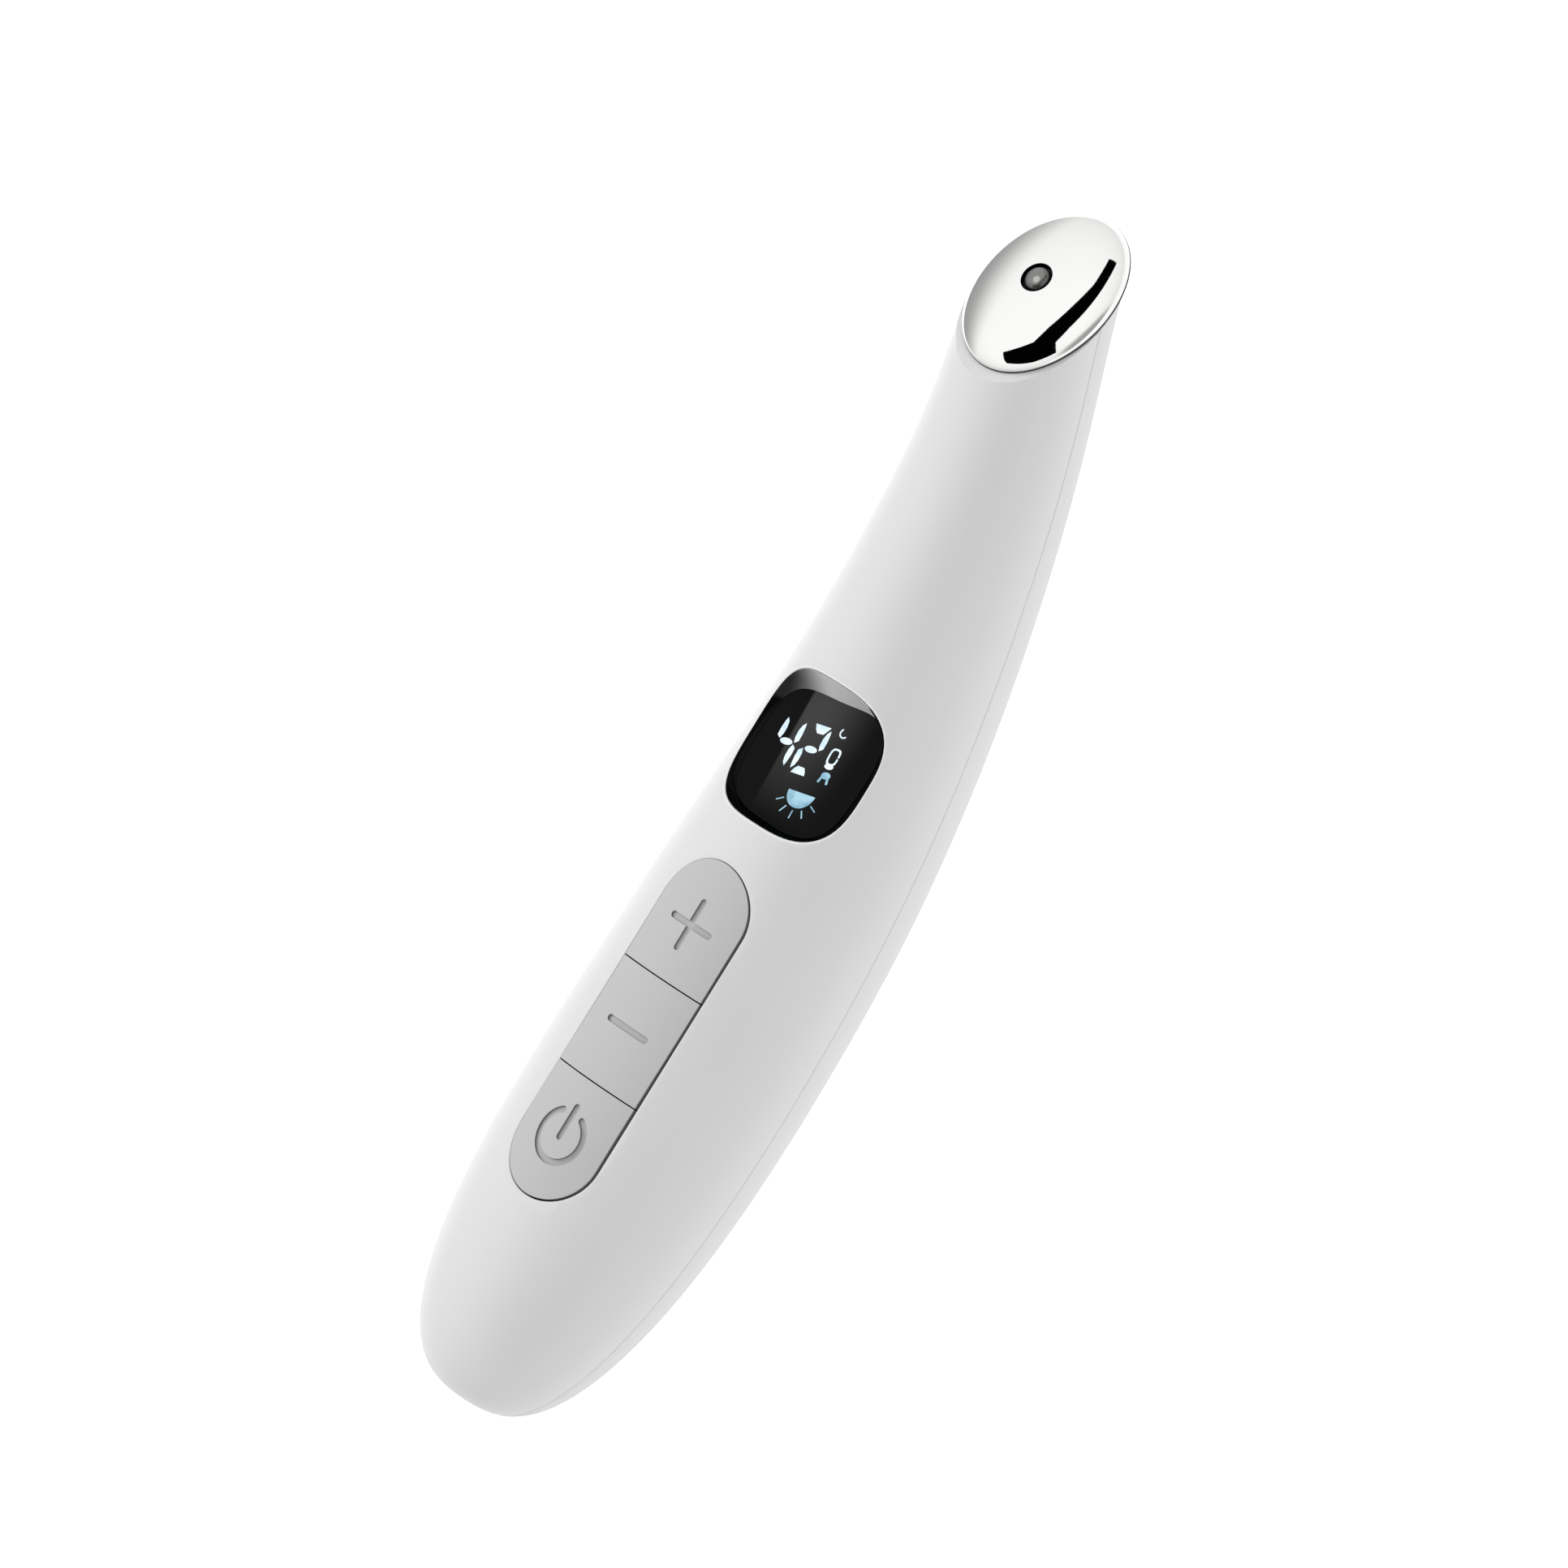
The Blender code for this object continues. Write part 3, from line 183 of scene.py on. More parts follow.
# Shells of the handle: two halves of satin off-white plastic, 1.5 mm thick, parted along the sides.
# Each half is drawn out ring by ring from the tail, chamfered along the parting line, hollowed, and
# trimmed on the slanted plane that the metal head sits on, where the neck stays just inside its rim.
widest_y = -0.005
half_width = 0.0164
front_depth = 0.0125
back_depth = 0.0126
tail_length = 0.0462
axis_height = 0.01251
tail_width_powers = (2.7, 2.8)
tail_depth_powers = (2.5, 2.6)
head_y = 0.090
head_rise = 0.0158
head_tilt = math.radians(16)
head_half_width = 0.0091
head_half_length = 0.01105
fit_gap = 0.0003
wall = 0.0015
tail_wall = 0.0065
parting_gap = 0.00005
parting_chamfer = 0.0001
neck_overrun = 1.3
merge_distance = 1e-7
# The axis rises at the tail's end and, less, at a share of the tail's length
tail_end_rise = 0.003
tail_bend_rise = 0.00138
tail_bend_share = 0.54
# Distance from the widest section, half width, front depth, back depth and rise of the axis
neck_sections = (
    (0.0, half_width, front_depth, back_depth, 0.0),
    (0.021, 0.0156, 0.01235, 0.01265, -0.00025),
    (0.041, 0.01375, 0.0115, 0.0117, 0.00055),
    (0.061, 0.01165, 0.0103, 0.0104, 0.00365),
    (0.081, 0.00985, 0.0087, 0.0088, 0.0095),
    (0.095, 0.00905, 0.0082, 0.0082, 0.0159),
    (0.106, 0.0088, 0.0081, 0.0081, 0.0214),
)
arc_steps = 72
tail_steps = 28
neck_steps = 84
head_place = Matrix.Translation((0, head_y, axis_height + head_rise)) @ Matrix.Rotation(-head_tilt, 4, "X")


def fair_curve(xs, ys):
    """A smooth curve through the given points, straight beyond its two ends."""
    count = len(xs)
    step = np.diff(xs)
    system = np.eye(count)
    right = np.zeros(count)
    for i in range(1, count - 1):
        system[i, i - 1 : i + 2] = step[i - 1], 2 * (step[i - 1] + step[i]), step[i]
        right[i] = 6 * ((ys[i + 1] - ys[i]) / step[i] - (ys[i] - ys[i - 1]) / step[i - 1])
    bend = np.linalg.solve(system, right)

    def curve(x):
        i = int(np.clip(np.searchsorted(xs, x) - 1, 0, count - 2))
        before, after, h = xs[i + 1] - x, x - xs[i], step[i]
        curved = (bend[i] * before**3 + bend[i + 1] * after**3) / (6 * h)
        straight = (ys[i] / h - bend[i] * h / 6) * before + (ys[i + 1] / h - bend[i + 1] * h / 6) * after
        return float(curved + straight)

    return curve


neck_ys = [widest_y + place[0] for place in neck_sections]
neck_width = fair_curve(neck_ys, [place[1] for place in neck_sections])
neck_front = fair_curve(neck_ys, [place[2] for place in neck_sections])
neck_back = fair_curve(neck_ys, [place[3] for place in neck_sections])
axis_rise = fair_curve(
    [widest_y - tail_length, widest_y - tail_length * tail_bend_share] + neck_ys,
    [tail_end_rise, tail_bend_rise] + [place[4] for place in neck_sections],
)


def tail_share(share_of_length, powers):
    """How much of the widest size is left at a share of the blunt tail's length."""
    inner, outer = powers
    return max(0.0, 1 - min(1.0, share_of_length) ** inner) ** (1 / outer)


def section(y, inset=0.0, tail_inset=0.0):
    """Half width, front depth and back depth of the handle at y, drawn in by the inset."""
    if y >= widest_y:
        return neck_width(y) - inset, neck_front(y) - inset, neck_back(y) - inset
    share = (widest_y - y) / (tail_length - tail_inset)
    deep = tail_share(share, tail_depth_powers)
    wide = tail_share(share, tail_width_powers) * (half_width - inset)
    return wide, deep * (front_depth - inset), deep * (back_depth - inset)


def axis_z(y):
    return axis_height + axis_rise(y)


def front_z(x, y):
    """Height of the front surface of the handle."""
    wide, deep, _ = section(y)
    return axis_z(y) + deep * math.sqrt(max(0.0, 1 - (x / wide) ** 2))


def stations(tail_inset=0.0):
    """Places of the rings, close together at the tail, on past the plane of the head."""
    inner, outer = tail_width_powers
    left = [math.sin(math.pi / 2 * i / tail_steps) for i in range(tail_steps)]
    places = [widest_y - (tail_length - tail_inset) * (1 - part**outer) ** (1 / inner) for part in left]
    reach = head_y + head_half_length * neck_overrun - widest_y
    return places + [widest_y + reach * i / neck_steps for i in range(neck_steps + 1)]


def draw_out(name, rings, open_ring=False):
    """A form drawn out ring by ring. A flat face, or for a ring-shaped piece only its edge, is
    extruded once for each further ring, and each of its points goes to its place there."""
    bpy.ops.object.select_all(action="DESELECT")
    fill = "NOTHING" if open_ring else "NGON"
    bpy.ops.mesh.primitive_circle_add(vertices=len(rings[0]), radius=0.001, fill_type=fill)
    piece = bpy.context.object
    piece.name = name
    piece.data.name = name
    numbers = piece.data.attributes.new("number", "INT", "POINT")
    for i, number in enumerate(numbers.data):
        number.value = i
    bpy.ops.object.mode_set(mode="EDIT")
    for step, ring in enumerate(rings):
        if step and open_ring:
            bpy.ops.mesh.extrude_edges_move()
        elif step:
            bpy.ops.mesh.extrude_region_move()
        mesh = bmesh.from_edit_mesh(piece.data)
        number = mesh.verts.layers.int["number"]
        for point in mesh.verts:
            if point.select:
                point.co = ring[point[number]]
        bmesh.update_edit_mesh(piece.data)
    if open_ring:
        mesh = bmesh.from_edit_mesh(piece.data)
        for edge in mesh.edges:
            edge.select_set(edge.is_boundary)
        bmesh.update_edit_mesh(piece.data)
        bpy.ops.mesh.bridge_edge_loops()
    bpy.ops.mesh.select_all(action="SELECT")
    bpy.ops.mesh.remove_doubles(threshold=merge_distance)
    bpy.ops.mesh.normals_make_consistent(inside=False)
    bpy.ops.object.mode_set(mode="OBJECT")
    piece.data.attributes.remove(piece.data.attributes["number"])
    return piece


def cut(piece, tool, operation="DIFFERENCE", keep=False):
    """Takes one form away from another, or joins it on, or keeps only what they share."""
    modifier = piece.modifiers.new("cut", "BOOLEAN")
    modifier.operation = operation
    modifier.object = tool
    modifier.material_mode = "TRANSFER"
    bpy.context.view_layer.objects.active = piece
    bpy.ops.object.modifier_apply(modifier=modifier.name)
    if not keep:
        bpy.data.objects.remove(tool)


def smooth(piece, angle=32):
    """Smooth shading, with edges sharper than the angle left crisp."""
    bpy.ops.object.select_all(action="DESELECT")
    piece.select_set(True)
    bpy.context.view_layer.objects.active = piece
    bpy.ops.object.shade_smooth_by_angle(angle=math.radians(angle))


def half_ring(y, side):
    """One ring of a half of the handle, front for side 1 and back for side -1, with its chamfers."""
    wide, front, back = section(y)
    deep = front if side > 0 else back
    edge = min(parting_chamfer, wide / 4, deep / 4)
    base = axis_z(y) + side * min(parting_gap / 2, deep / 8)
    first = math.asin(min(1.0, edge / deep)) if deep > 0 else 0.0
    turns = [first + (math.pi - 2 * first) * i / arc_steps for i in range(arc_steps + 1)]
    arc = [(wide * math.cos(turn), y, base + side * deep * math.sin(turn)) for turn in turns]
    return [(wide - edge, y, base)] + arc + [(edge - wide, y, base)]


def whole_ring(y, outer_y, inset):
    """One ring of the hollow inside the handle."""
    wide, front, back = section(y, inset, tail_wall)
    turns = [2 * math.pi * i / arc_steps for i in range(arc_steps)]
    return [
        (
            wide * math.cos(turn),
            y,
            axis_z(outer_y) + (front if math.sin(turn) > 0 else back) * math.sin(turn),
        )
        for turn in turns
    ]


def trim_at_head(piece):
    """Cuts the neck off on the plane of the metal head and closes the cut."""
    bpy.ops.object.select_all(action="DESELECT")
    bpy.context.view_layer.objects.active = piece
    bpy.ops.object.mode_set(mode="EDIT")
    bpy.ops.mesh.select_all(action="SELECT")
    seat = head_place @ Vector((0, 0, -fit_gap))
    slope = head_place.to_3x3() @ Vector((0, 0, 1))
    bpy.ops.mesh.bisect(plane_co=seat, plane_no=slope, use_fill=True, clear_outer=True)
    bpy.ops.object.mode_set(mode="OBJECT")


front_form = draw_out("front_form", [half_ring(y, 1) for y in stations()])
back_form = draw_out("back_form", [half_ring(y, -1) for y in stations()])
hollow = draw_out("hollow", [whole_ring(y, y, wall) for y in stations(tail_wall)])
bpy.ops.object.select_all(action="DESELECT")


def copy_of(piece, name):
    twin = piece.copy()
    twin.data = piece.data.copy()
    twin.name = name
    twin.data.name = name
    scene.collection.objects.link(twin)
    return twin


# Finishes that several pieces share: the fine grain of moulded parts, and the lines on drawn or turned
# metal. Each is a group of nodes that gives a colour, a roughness and a relief.
def new_group(name, inputs, outputs):
    group = bpy.data.node_groups.new(name, "ShaderNodeTree")
    for label, kind, value in inputs:
        group.interface.new_socket(label, in_out="INPUT", socket_type=kind).default_value = value
    for label, kind in outputs:
        group.interface.new_socket(label, in_out="OUTPUT", socket_type=kind)
    return group, group.nodes.new("NodeGroupInput"), group.nodes.new("NodeGroupOutput")


float_kind, colour_kind = "NodeSocketFloat", "NodeSocketColor"
grain, given, result = new_group(
    "moulded_grain",
    (
        ("Colour", colour_kind, (0.8, 0.8, 0.8, 1)),
        ("Worn Colour", colour_kind, (0.7, 0.7, 0.7, 1)),
        ("Grain Scale", float_kind, 5000.0),
        ("Smooth", float_kind, 0.3),
        ("Dull", float_kind, 0.4),
    ),
    (("Colour", colour_kind), ("Roughness", float_kind), ("Height", float_kind)),
)
place = add_node(grain, "ShaderNodeTexCoord")
pores = add_node(
    grain,
    "ShaderNodeTexNoise",
    [("Vector", place.outputs["Object"]), ("Scale", given.outputs["Grain Scale"])],
    [("Detail", 3.0), ("Roughness", 0.6)],
)
clouds = add_node(
    grain,
    "ShaderNodeTexNoise",
    [("Vector", place.outputs["Object"])],
    [("Scale", 60.0), ("Detail", 4.0), ("Roughness", 0.55)],
)
patches = add_node(
    grain, "ShaderNodeMapRange", [("Value", clouds.outputs["Fac"])], [("From Min", 0.3), ("From Max", 0.75)]
)
blend = add_node(
    grain,
    "ShaderNodeMix",
    [("Factor", patches.outputs[0]), (6, given.outputs["Colour"]), (7, given.outputs["Worn Colour"])],
    data_type="RGBA",
)
dulling = add_node(
    grain,
    "ShaderNodeMapRange",
    [
        ("Value", pores.outputs["Fac"]),
        ("To Min", given.outputs["Smooth"]),
        ("To Max", given.outputs["Dull"]),
    ],
    [("From Min", 0.25), ("From Max", 0.75)],
)
grain.links.new(blend.outputs[2], result.inputs["Colour"])
grain.links.new(dulling.outputs["Result"], result.inputs["Roughness"])
grain.links.new(pores.outputs["Fac"], result.inputs["Height"])

drawn, given, result = new_group(
    "drawn_metal",
    (
        ("Colour", colour_kind, (0.6, 0.6, 0.6, 1)),
        ("Tarnish", colour_kind, (0.4, 0.4, 0.4, 1)),
        ("Line Scale", float_kind, 4000.0),
        ("Smooth", float_kind, 0.2),
        ("Dull", float_kind, 0.4),
    ),
    (("Colour", colour_kind), ("Roughness", float_kind), ("Height", float_kind)),
)
place = add_node(drawn, "ShaderNodeTexCoord")
stretch = add_node(
    drawn, "ShaderNodeMapping", [("Vector", place.outputs["Object"])], [("Scale", (1.0, 0.05, 1.0))]
)
lines = add_node(
    drawn,
    "ShaderNodeTexNoise",
    [("Vector", stretch.outputs[0]), ("Scale", given.outputs["Line Scale"])],
    [("Detail", 2.0)],
)
stain = add_node(
    drawn, "ShaderNodeTexNoise", [("Vector", place.outputs["Object"])], [("Scale", 220.0), ("Detail", 3.0)]
)
blend = add_node(
    drawn,
    "ShaderNodeMix",
    [("Factor", stain.outputs["Fac"]), (6, given.outputs["Colour"]), (7, given.outputs["Tarnish"])],
    data_type="RGBA",
)
dulling = add_node(
    drawn,
    "ShaderNodeMapRange",
    [
        ("Value", lines.outputs["Fac"]),
        ("To Min", given.outputs["Smooth"]),
        ("To Max", given.outputs["Dull"]),
    ],
    [("From Min", 0.3), ("From Max", 0.7)],
)
drawn.links.new(blend.outputs[2], result.inputs["Colour"])
drawn.links.new(dulling.outputs["Result"], result.inputs["Roughness"])
drawn.links.new(lines.outputs["Fac"], result.inputs["Height"])


def new_finish(name, group, values, bump=0.02, depth=0.00002, metallic=0.0, **sockets):
    """A material whose colour, roughness and relief come from one of the groups."""
    material = bpy.data.materials.new(name)
    material.use_nodes = True
    tree = material.node_tree
    shader = tree.nodes["Principled BSDF"]
    shader.inputs["Metallic"].default_value = metallic
    for label, value in sockets.items():
        shader.inputs[label.replace("_", " ")].default_value = value
    surface = add_node(tree, "ShaderNodeGroup", node_tree=group)
    for label, value in zip((socket.name for socket in surface.inputs), values):
        surface.inputs[label].default_value = (*value, 1) if isinstance(value, tuple) else value
    relief = add_node(
        tree,
        "ShaderNodeBump",
        [("Height", surface.outputs["Height"])],
        [("Strength", bump), ("Distance", depth)],
    )
    tree.links.new(surface.outputs["Colour"], shader.inputs["Base Color"])
    tree.links.new(surface.outputs["Roughness"], shader.inputs["Roughness"])
    tree.links.new(relief.outputs["Normal"], shader.inputs["Normal"])
    return material


def dress(piece, material, body, slot, *nodes):
    """Gives a piece its finish if it has none and the body that it moves with, and hides the CAD nodes that
    it stands for.
    """
    if not piece.data.materials:
        piece.data.materials.append(material)
    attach(piece, body)
    if nodes:
        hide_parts(*nodes)


satin_white = new_finish(
    "satin_white_plastic",
    grain,
    ((0.8, 0.8, 0.8), (0.785, 0.785, 0.785), 5200.0, 0.36, 0.46),
    bump=0.12,
)

# Back shell: the lower half of the handle. Its tail is solid behind the charging socket, which sits
# in a slot at the foot of an oblong pocket, and a narrow flat land under it is what the wand rests on.
port_z = axis_height - 0.0022
port_land_y = -0.0462
pocket_half_width = 0.0066
pocket_half_height = 0.003
slot_width = 0.00954
slot_height = 0.0038
slot_reach = 0.014
cut_overlap = 0.001
pocket_straight = 0.003
pocket_reach = 0.008
pocket_flare = 0.0006
land_block = 0.2


def oblong(half_long, half_high, y, centre_z, steps=16):
    """Points of an upright oblong with round ends, lying along X."""
    points = []
    for end in (1, -1):
        for i in range(steps + 1):
            turn = math.pi * i / steps - math.pi / 2
            x = end * (half_long - half_high + half_high * math.cos(turn))
            points.append((x, y, centre_z + end * half_high * math.sin(turn)))
    return points


back_shell = copy_of(back_form, "back_casing")
cut(back_shell, hollow, keep=True)
trim_at_head(back_shell)
pocket_rings = [
    oblong(pocket_half_width + grow, pocket_half_height + grow, y, port_z)
    for grow, y in (
        (0.0, port_land_y), (0.0, port_land_y - pocket_straight), (pocket_flare, port_land_y - pocket_reach)
    )
]
cut(back_shell, draw_out("pocket", pocket_rings))
slot_ends = port_land_y - cut_overlap, port_land_y + slot_reach
slot_rings = [oblong(slot_width / 2, slot_height / 2, y, port_z) for y in slot_ends]
cut(back_shell, draw_out("slot", slot_rings))
bpy.ops.mesh.primitive_cube_add(size=land_block, location=(0, 0, -land_block / 2))
cut(back_shell, bpy.context.object)
smooth(back_shell)
dress(back_shell, satin_white, "handle", "white_plastic", "back_shell")

# Front shell: the upper half, open for the display and for the long oval of keys, with a soft edge
# round both openings and two posts inside that the circuit board is screwed to.
window_y = 0.0315
window_half_width = 0.0091
window_half_length = 0.00915
window_power = 3.2
keypad_y = -0.005
keypad_half_width = 0.00655
keypad_half_length = 0.0218
window_edge_radius = 0.00028
keypad_edge_radius = 0.00014
edge_turns = (0, 18, 36, 54, 72)
flare = 0.0003
above_all = axis_height + 0.03
board_top = axis_height + 0.0045
screw_ys = [(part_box(name)[0].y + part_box(name)[1].y) / 2 for name in ("board_screw_1", "board_screw_2")]
screw_radius = 0.0008
screw_hole_depth = 0.0025
post_radius = 0.0021


def window_outline(half_x, half_y, centre=(0.0, 0.0), steps=96):
    """The rounded square of the display."""
    points = []
    for i in range(steps):
        c, s = math.cos(2 * math.pi * i / steps), math.sin(2 * math.pi * i / steps)
        reach = (abs(c) ** window_power + abs(s) ** window_power) ** (-1 / window_power)
        points.append((centre[0] + half_x * c * reach, centre[1] + half_y * s * reach))
    return points


def oval_outline(half_x, half_y, centre=(0.0, 0.0), steps=32):
    """A slot with round ends, standing along Y."""
    points = []
    for end in (1, -1):
        for i in range(steps + 1):
            turn = math.pi * i / steps
            x = end * half_x * math.cos(turn)
            points.append((centre[0] + x, centre[1] + end * (half_y - half_x + half_x * math.sin(turn))))
    return points


def opening_cutter(name, outline, edge_radius, deep):
    """What is cut away for an opening: straight below, and flared to a soft edge at the surface."""
    rings = [[(x, y, deep) for x, y in outline(0.0)]]
    for turn in edge_turns:
        outward = edge_radius * (1 - math.cos(math.radians(turn)))
        drop = edge_radius * (1 - math.sin(math.radians(turn)))
        rings.append([(x, y, front_z(x, y) - drop) for x, y in outline(outward)])
    clear = outline(outward + flare)
    rise = flare / math.tan(math.radians(edge_turns[-1]))
    rings.append([(x, y, front_z(x, y) + rise) for x, y in clear])
    rings.append([(x, y, above_all) for x, y in clear])
    return draw_out(name, rings)


# Paler than the shell as a painted highlight on the display opening's edge; its low roughness is real gloss.
glossy_edge_painted_highlight = new_finish(
    "glossy_edge_painted_highlight", grain, ((0.93, 0.93, 0.93), (0.9, 0.9, 0.9), 5200.0, 0.15, 0.2), bump=0.02
)
front_shell = copy_of(front_form, "front_casing")
front_shell.data.materials.append(satin_white)
cut(front_shell, hollow)
trim_at_head(front_shell)
window_opening = opening_cutter(
    "window_opening",
    lambda grow: window_outline(window_half_width + grow, window_half_length + grow, (0, window_y)),
    window_edge_radius,
    board_top,
)
window_opening.data.materials.append(glossy_edge_painted_highlight)
cut(front_shell, window_opening)
cut(
    front_shell,
    opening_cutter(
        "keypad_opening",
        lambda grow: oval_outline(keypad_half_width + grow, keypad_half_length + grow, (0, keypad_y)),
        keypad_edge_radius,
        board_top,
    ),
)
for y in screw_ys:
    post_foot = board_top + fit_gap
    post_top = front_z(post_radius, y) - wall / 2
    for radius, foot, head, operation in (
        (post_radius, post_foot, post_top, "UNION"),
        (screw_radius + fit_gap, post_foot - screw_hole_depth, post_foot + screw_hole_depth, "DIFFERENCE"),
    ):
        bpy.ops.mesh.primitive_cylinder_add(
            vertices=32, radius=radius, depth=head - foot, location=(0, y, (foot + head) / 2)
        )
        bpy.context.object.data.materials.append(satin_white)
        cut(front_shell, bpy.context.object, operation)
smooth(front_shell)
dress(front_shell, satin_white, "handle", "white_plastic", "front_shell")

# Keys: three matt grey caps that fill the oval, cut from the same curved front so that they lie
# flush, with a sign pressed 0.3 mm into each. The side walls of the keys and of the signs are painted
# dark as painted shade, and the sign floors a little darker than the keys as painted shade.
# A round stem under each key reaches its switch.
key_left_gap = 0.00007
key_right_gap = 0.0003
key_foot_gap = 0.00006
key_depth = 0.002
division_gap = 0.00016
plus_minus_line = keypad_y + 0.0069
minus_power_line = keypad_y - 0.007
sign_depth = 0.0003
stroke = 0.0004
sign_half_long = 0.0033
power_sign_radius = 0.0035
power_bar_half_long = 0.0023
power_bar_rise = 0.0018
key_face_drop = 0.00002
key_block_foot = board_top + 0.004
key_stem_radius = 0.0013
stem_clearance = 0.0005
key_grey = new_finish(
    "matt_grey_key_plastic",
    grain,
    ((0.585, 0.585, 0.585), (0.57, 0.57, 0.57), 5200.0, 0.48, 0.58),
    bump=0.12,
)
# Dark grey side walls of the keys and of the signs: painted shade in the gaps and grooves.
key_and_sign_walls_painted_shade = new_finish(
    "pressed_key_and_sign_walls_painted_shade",
    grain,
    ((0.22, 0.22, 0.22), (0.2, 0.2, 0.2), 5200.0, 0.5, 0.6),
    bump=0.12,
)
# Sign floors a little darker than the keys: painted shade.
sign_floor_painted_shade = new_finish(
    "pressed_sign_floor_painted_shade",
    grain,
    ((0.52, 0.52, 0.52), (0.5, 0.5, 0.5), 5200.0, 0.5, 0.6),
    bump=0.12,
)


def straight_block(name, low, high, deep, top):
    """A flat-sided block between two corners in X and Y."""
    corners = [(low[0], low[1]), (high[0], low[1]), (high[0], high[1]), (low[0], high[1])]
    return draw_out(name, [[(x, y, z) for x, y in corners] for z in (deep, top)])


def bar(centre, half_long, along_x):
    """The outline of a short stroke with round ends."""
    points = oval_outline(stroke, half_long, steps=10)
    if along_x:
        points = [(y, -x) for x, y in points]
    return [(centre[0] + x, centre[1] + y) for x, y in points]


def power_arc(centre, radius):
    """The outline of the open ring of a power sign, with round ends."""
    steps = 40
    turns = [math.radians(-240 + 300 * i / steps) for i in range(steps + 1)]
    outer = [(radius * math.cos(turn), radius * math.sin(turn)) for turn in turns]
    hole = radius - 2 * stroke
    inner = [(hole * math.cos(turn), hole * math.sin(turn)) for turn in turns]
    middle = radius - stroke

    def round_end(turn, start):
        hub = Vector((middle * math.cos(turn), middle * math.sin(turn)))
        leans = [turn + (start + math.pi * i / 8) for i in range(1, 8)]
        return [tuple(hub + stroke * Vector((math.cos(lean), math.sin(lean)))) for lean in leans]

    points = outer + round_end(turns[-1], 0) + inner[::-1] + round_end(turns[0], math.pi)
    return [(centre[0] + x, centre[1] + y) for x, y in points]


def lowered(piece, name, drop):
    """A copy of a form, set lower."""
    twin = copy_of(piece, name)
    for point in twin.data.vertices:
        point.co.z -= drop
    return twin


key_front = lowered(front_form, "key_front", key_face_drop)
key_front.data.materials.append(key_grey)
sign_floor = lowered(front_form, "sign_floor", sign_depth)
sign_floor.data.materials.append(sign_floor_painted_shade)
key_centre = -(key_right_gap - key_left_gap) / 2
key_half_width = keypad_half_width - (key_right_gap + key_left_gap) / 2
keypad_ends = keypad_y - keypad_half_length, keypad_y + keypad_half_length
# Name, low end, high end and the middle of the sign
keys = (
    ("plus", plus_minus_line + division_gap / 2, keypad_ends[1] + cut_overlap, 0.0088),
    ("minus", minus_power_line + division_gap / 2, plus_minus_line - division_gap / 2, -0.0049),
    ("power", keypad_ends[0] - cut_overlap, minus_power_line - division_gap / 2, -0.0191),
)
key_middle = (key_centre, keypad_y + key_foot_gap)
key_outline = oval_outline(key_half_width, keypad_half_length - key_foot_gap * 2, key_middle)
for name, low_y, high_y, sign_y in keys:
    key = draw_out(
        f"{name}_key_cap", [[(x, y, z) for x, y in key_outline] for z in (key_block_foot, above_all)]
    )
    key.data.materials.append(key_and_sign_walls_painted_shade)
    above_key = above_all + cut_overlap
    band = straight_block("band", (-half_width, low_y), (half_width, high_y), board_top, above_key)
    cut(key, band, "INTERSECT")
    cut(key, key_front, "INTERSECT", keep=True)
    under = lowered(front_form, "under", key_depth)
    cut(key, under)
    signs = {
        "plus": (bar((0, sign_y), sign_half_long, True), bar((0, sign_y), sign_half_long, False)),
        "minus": (bar((0, sign_y), sign_half_long, True),),
        "power": (
            power_arc((0, sign_y), power_sign_radius),
            bar((0, sign_y + power_bar_rise), power_bar_half_long, False),
        ),
    }[name]
    for outline in signs:
        pressing = draw_out("pressing", [[(x, y, z) for x, y in outline] for z in (board_top, above_key)])
        pressing.data.materials.append(key_and_sign_walls_painted_shade)
        cut(pressing, sign_floor, keep=True)
        cut(key, pressing)
    stem_y = (max(low_y, keypad_ends[0] + fit_gap) + min(high_y, keypad_ends[1] - fit_gap)) / 2
    switch_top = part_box(f"{name}_switch")[1].z
    stem_foot = switch_top + stem_clearance
    stem_top = front_z(0, stem_y) - key_depth / 2
    bpy.ops.mesh.primitive_cylinder_add(
        vertices=32,
        radius=key_stem_radius,
        depth=stem_top - stem_foot,
        location=(0, stem_y, (stem_top + stem_foot) / 2),
    )
    cut(key, bpy.context.object, "UNION")
    smooth(key)
    dress(key, key_grey, f"{name}_key", "grey_key_plastic", f"{name}_button")
for form in (front_form, back_form, key_front, sign_floor):
    bpy.data.objects.remove(form)

# Display: a black surround that dishes down to a flat smoked window, which leans 4 degrees against the
# handle. On the head side the dish is longest left of its middle, and there its wall is painted grey,
# dark at the left and lighter to the right, as painted shade on white plastic. Elsewhere it is gloss black.
window_lean = math.radians(4)
window_height = 0.00906
surround_gap = 0.00005
surround_edge = 0.0001
dish_left = 0.0011
dish_right = 0.0004
dish_top = 0.00165
dish_foot = 0.0003
rim_sink = 0.00005
lip_sink = 0.00003
dish_foot_level = 0.00005
dish_bow = 0.00012
glass_thickness = 0.001
glass_inset = 0.0006
glass_edge = 0.0001
glass_edge_share = 0.995
window_place = Matrix.Translation((0, window_y, axis_height + window_height)) @ Matrix.Rotation(
    -window_lean, 4, "X"
)
surround_black = new_finish(
    "black_surround_and_painted_shade_wall",
    grain,
    ((0.003, 0.003, 0.0035), (0.005, 0.005, 0.0055), 3000.0, 0.16, 0.22),
    bump=0.02,
    Specular_IOR_Level=0.04,
)
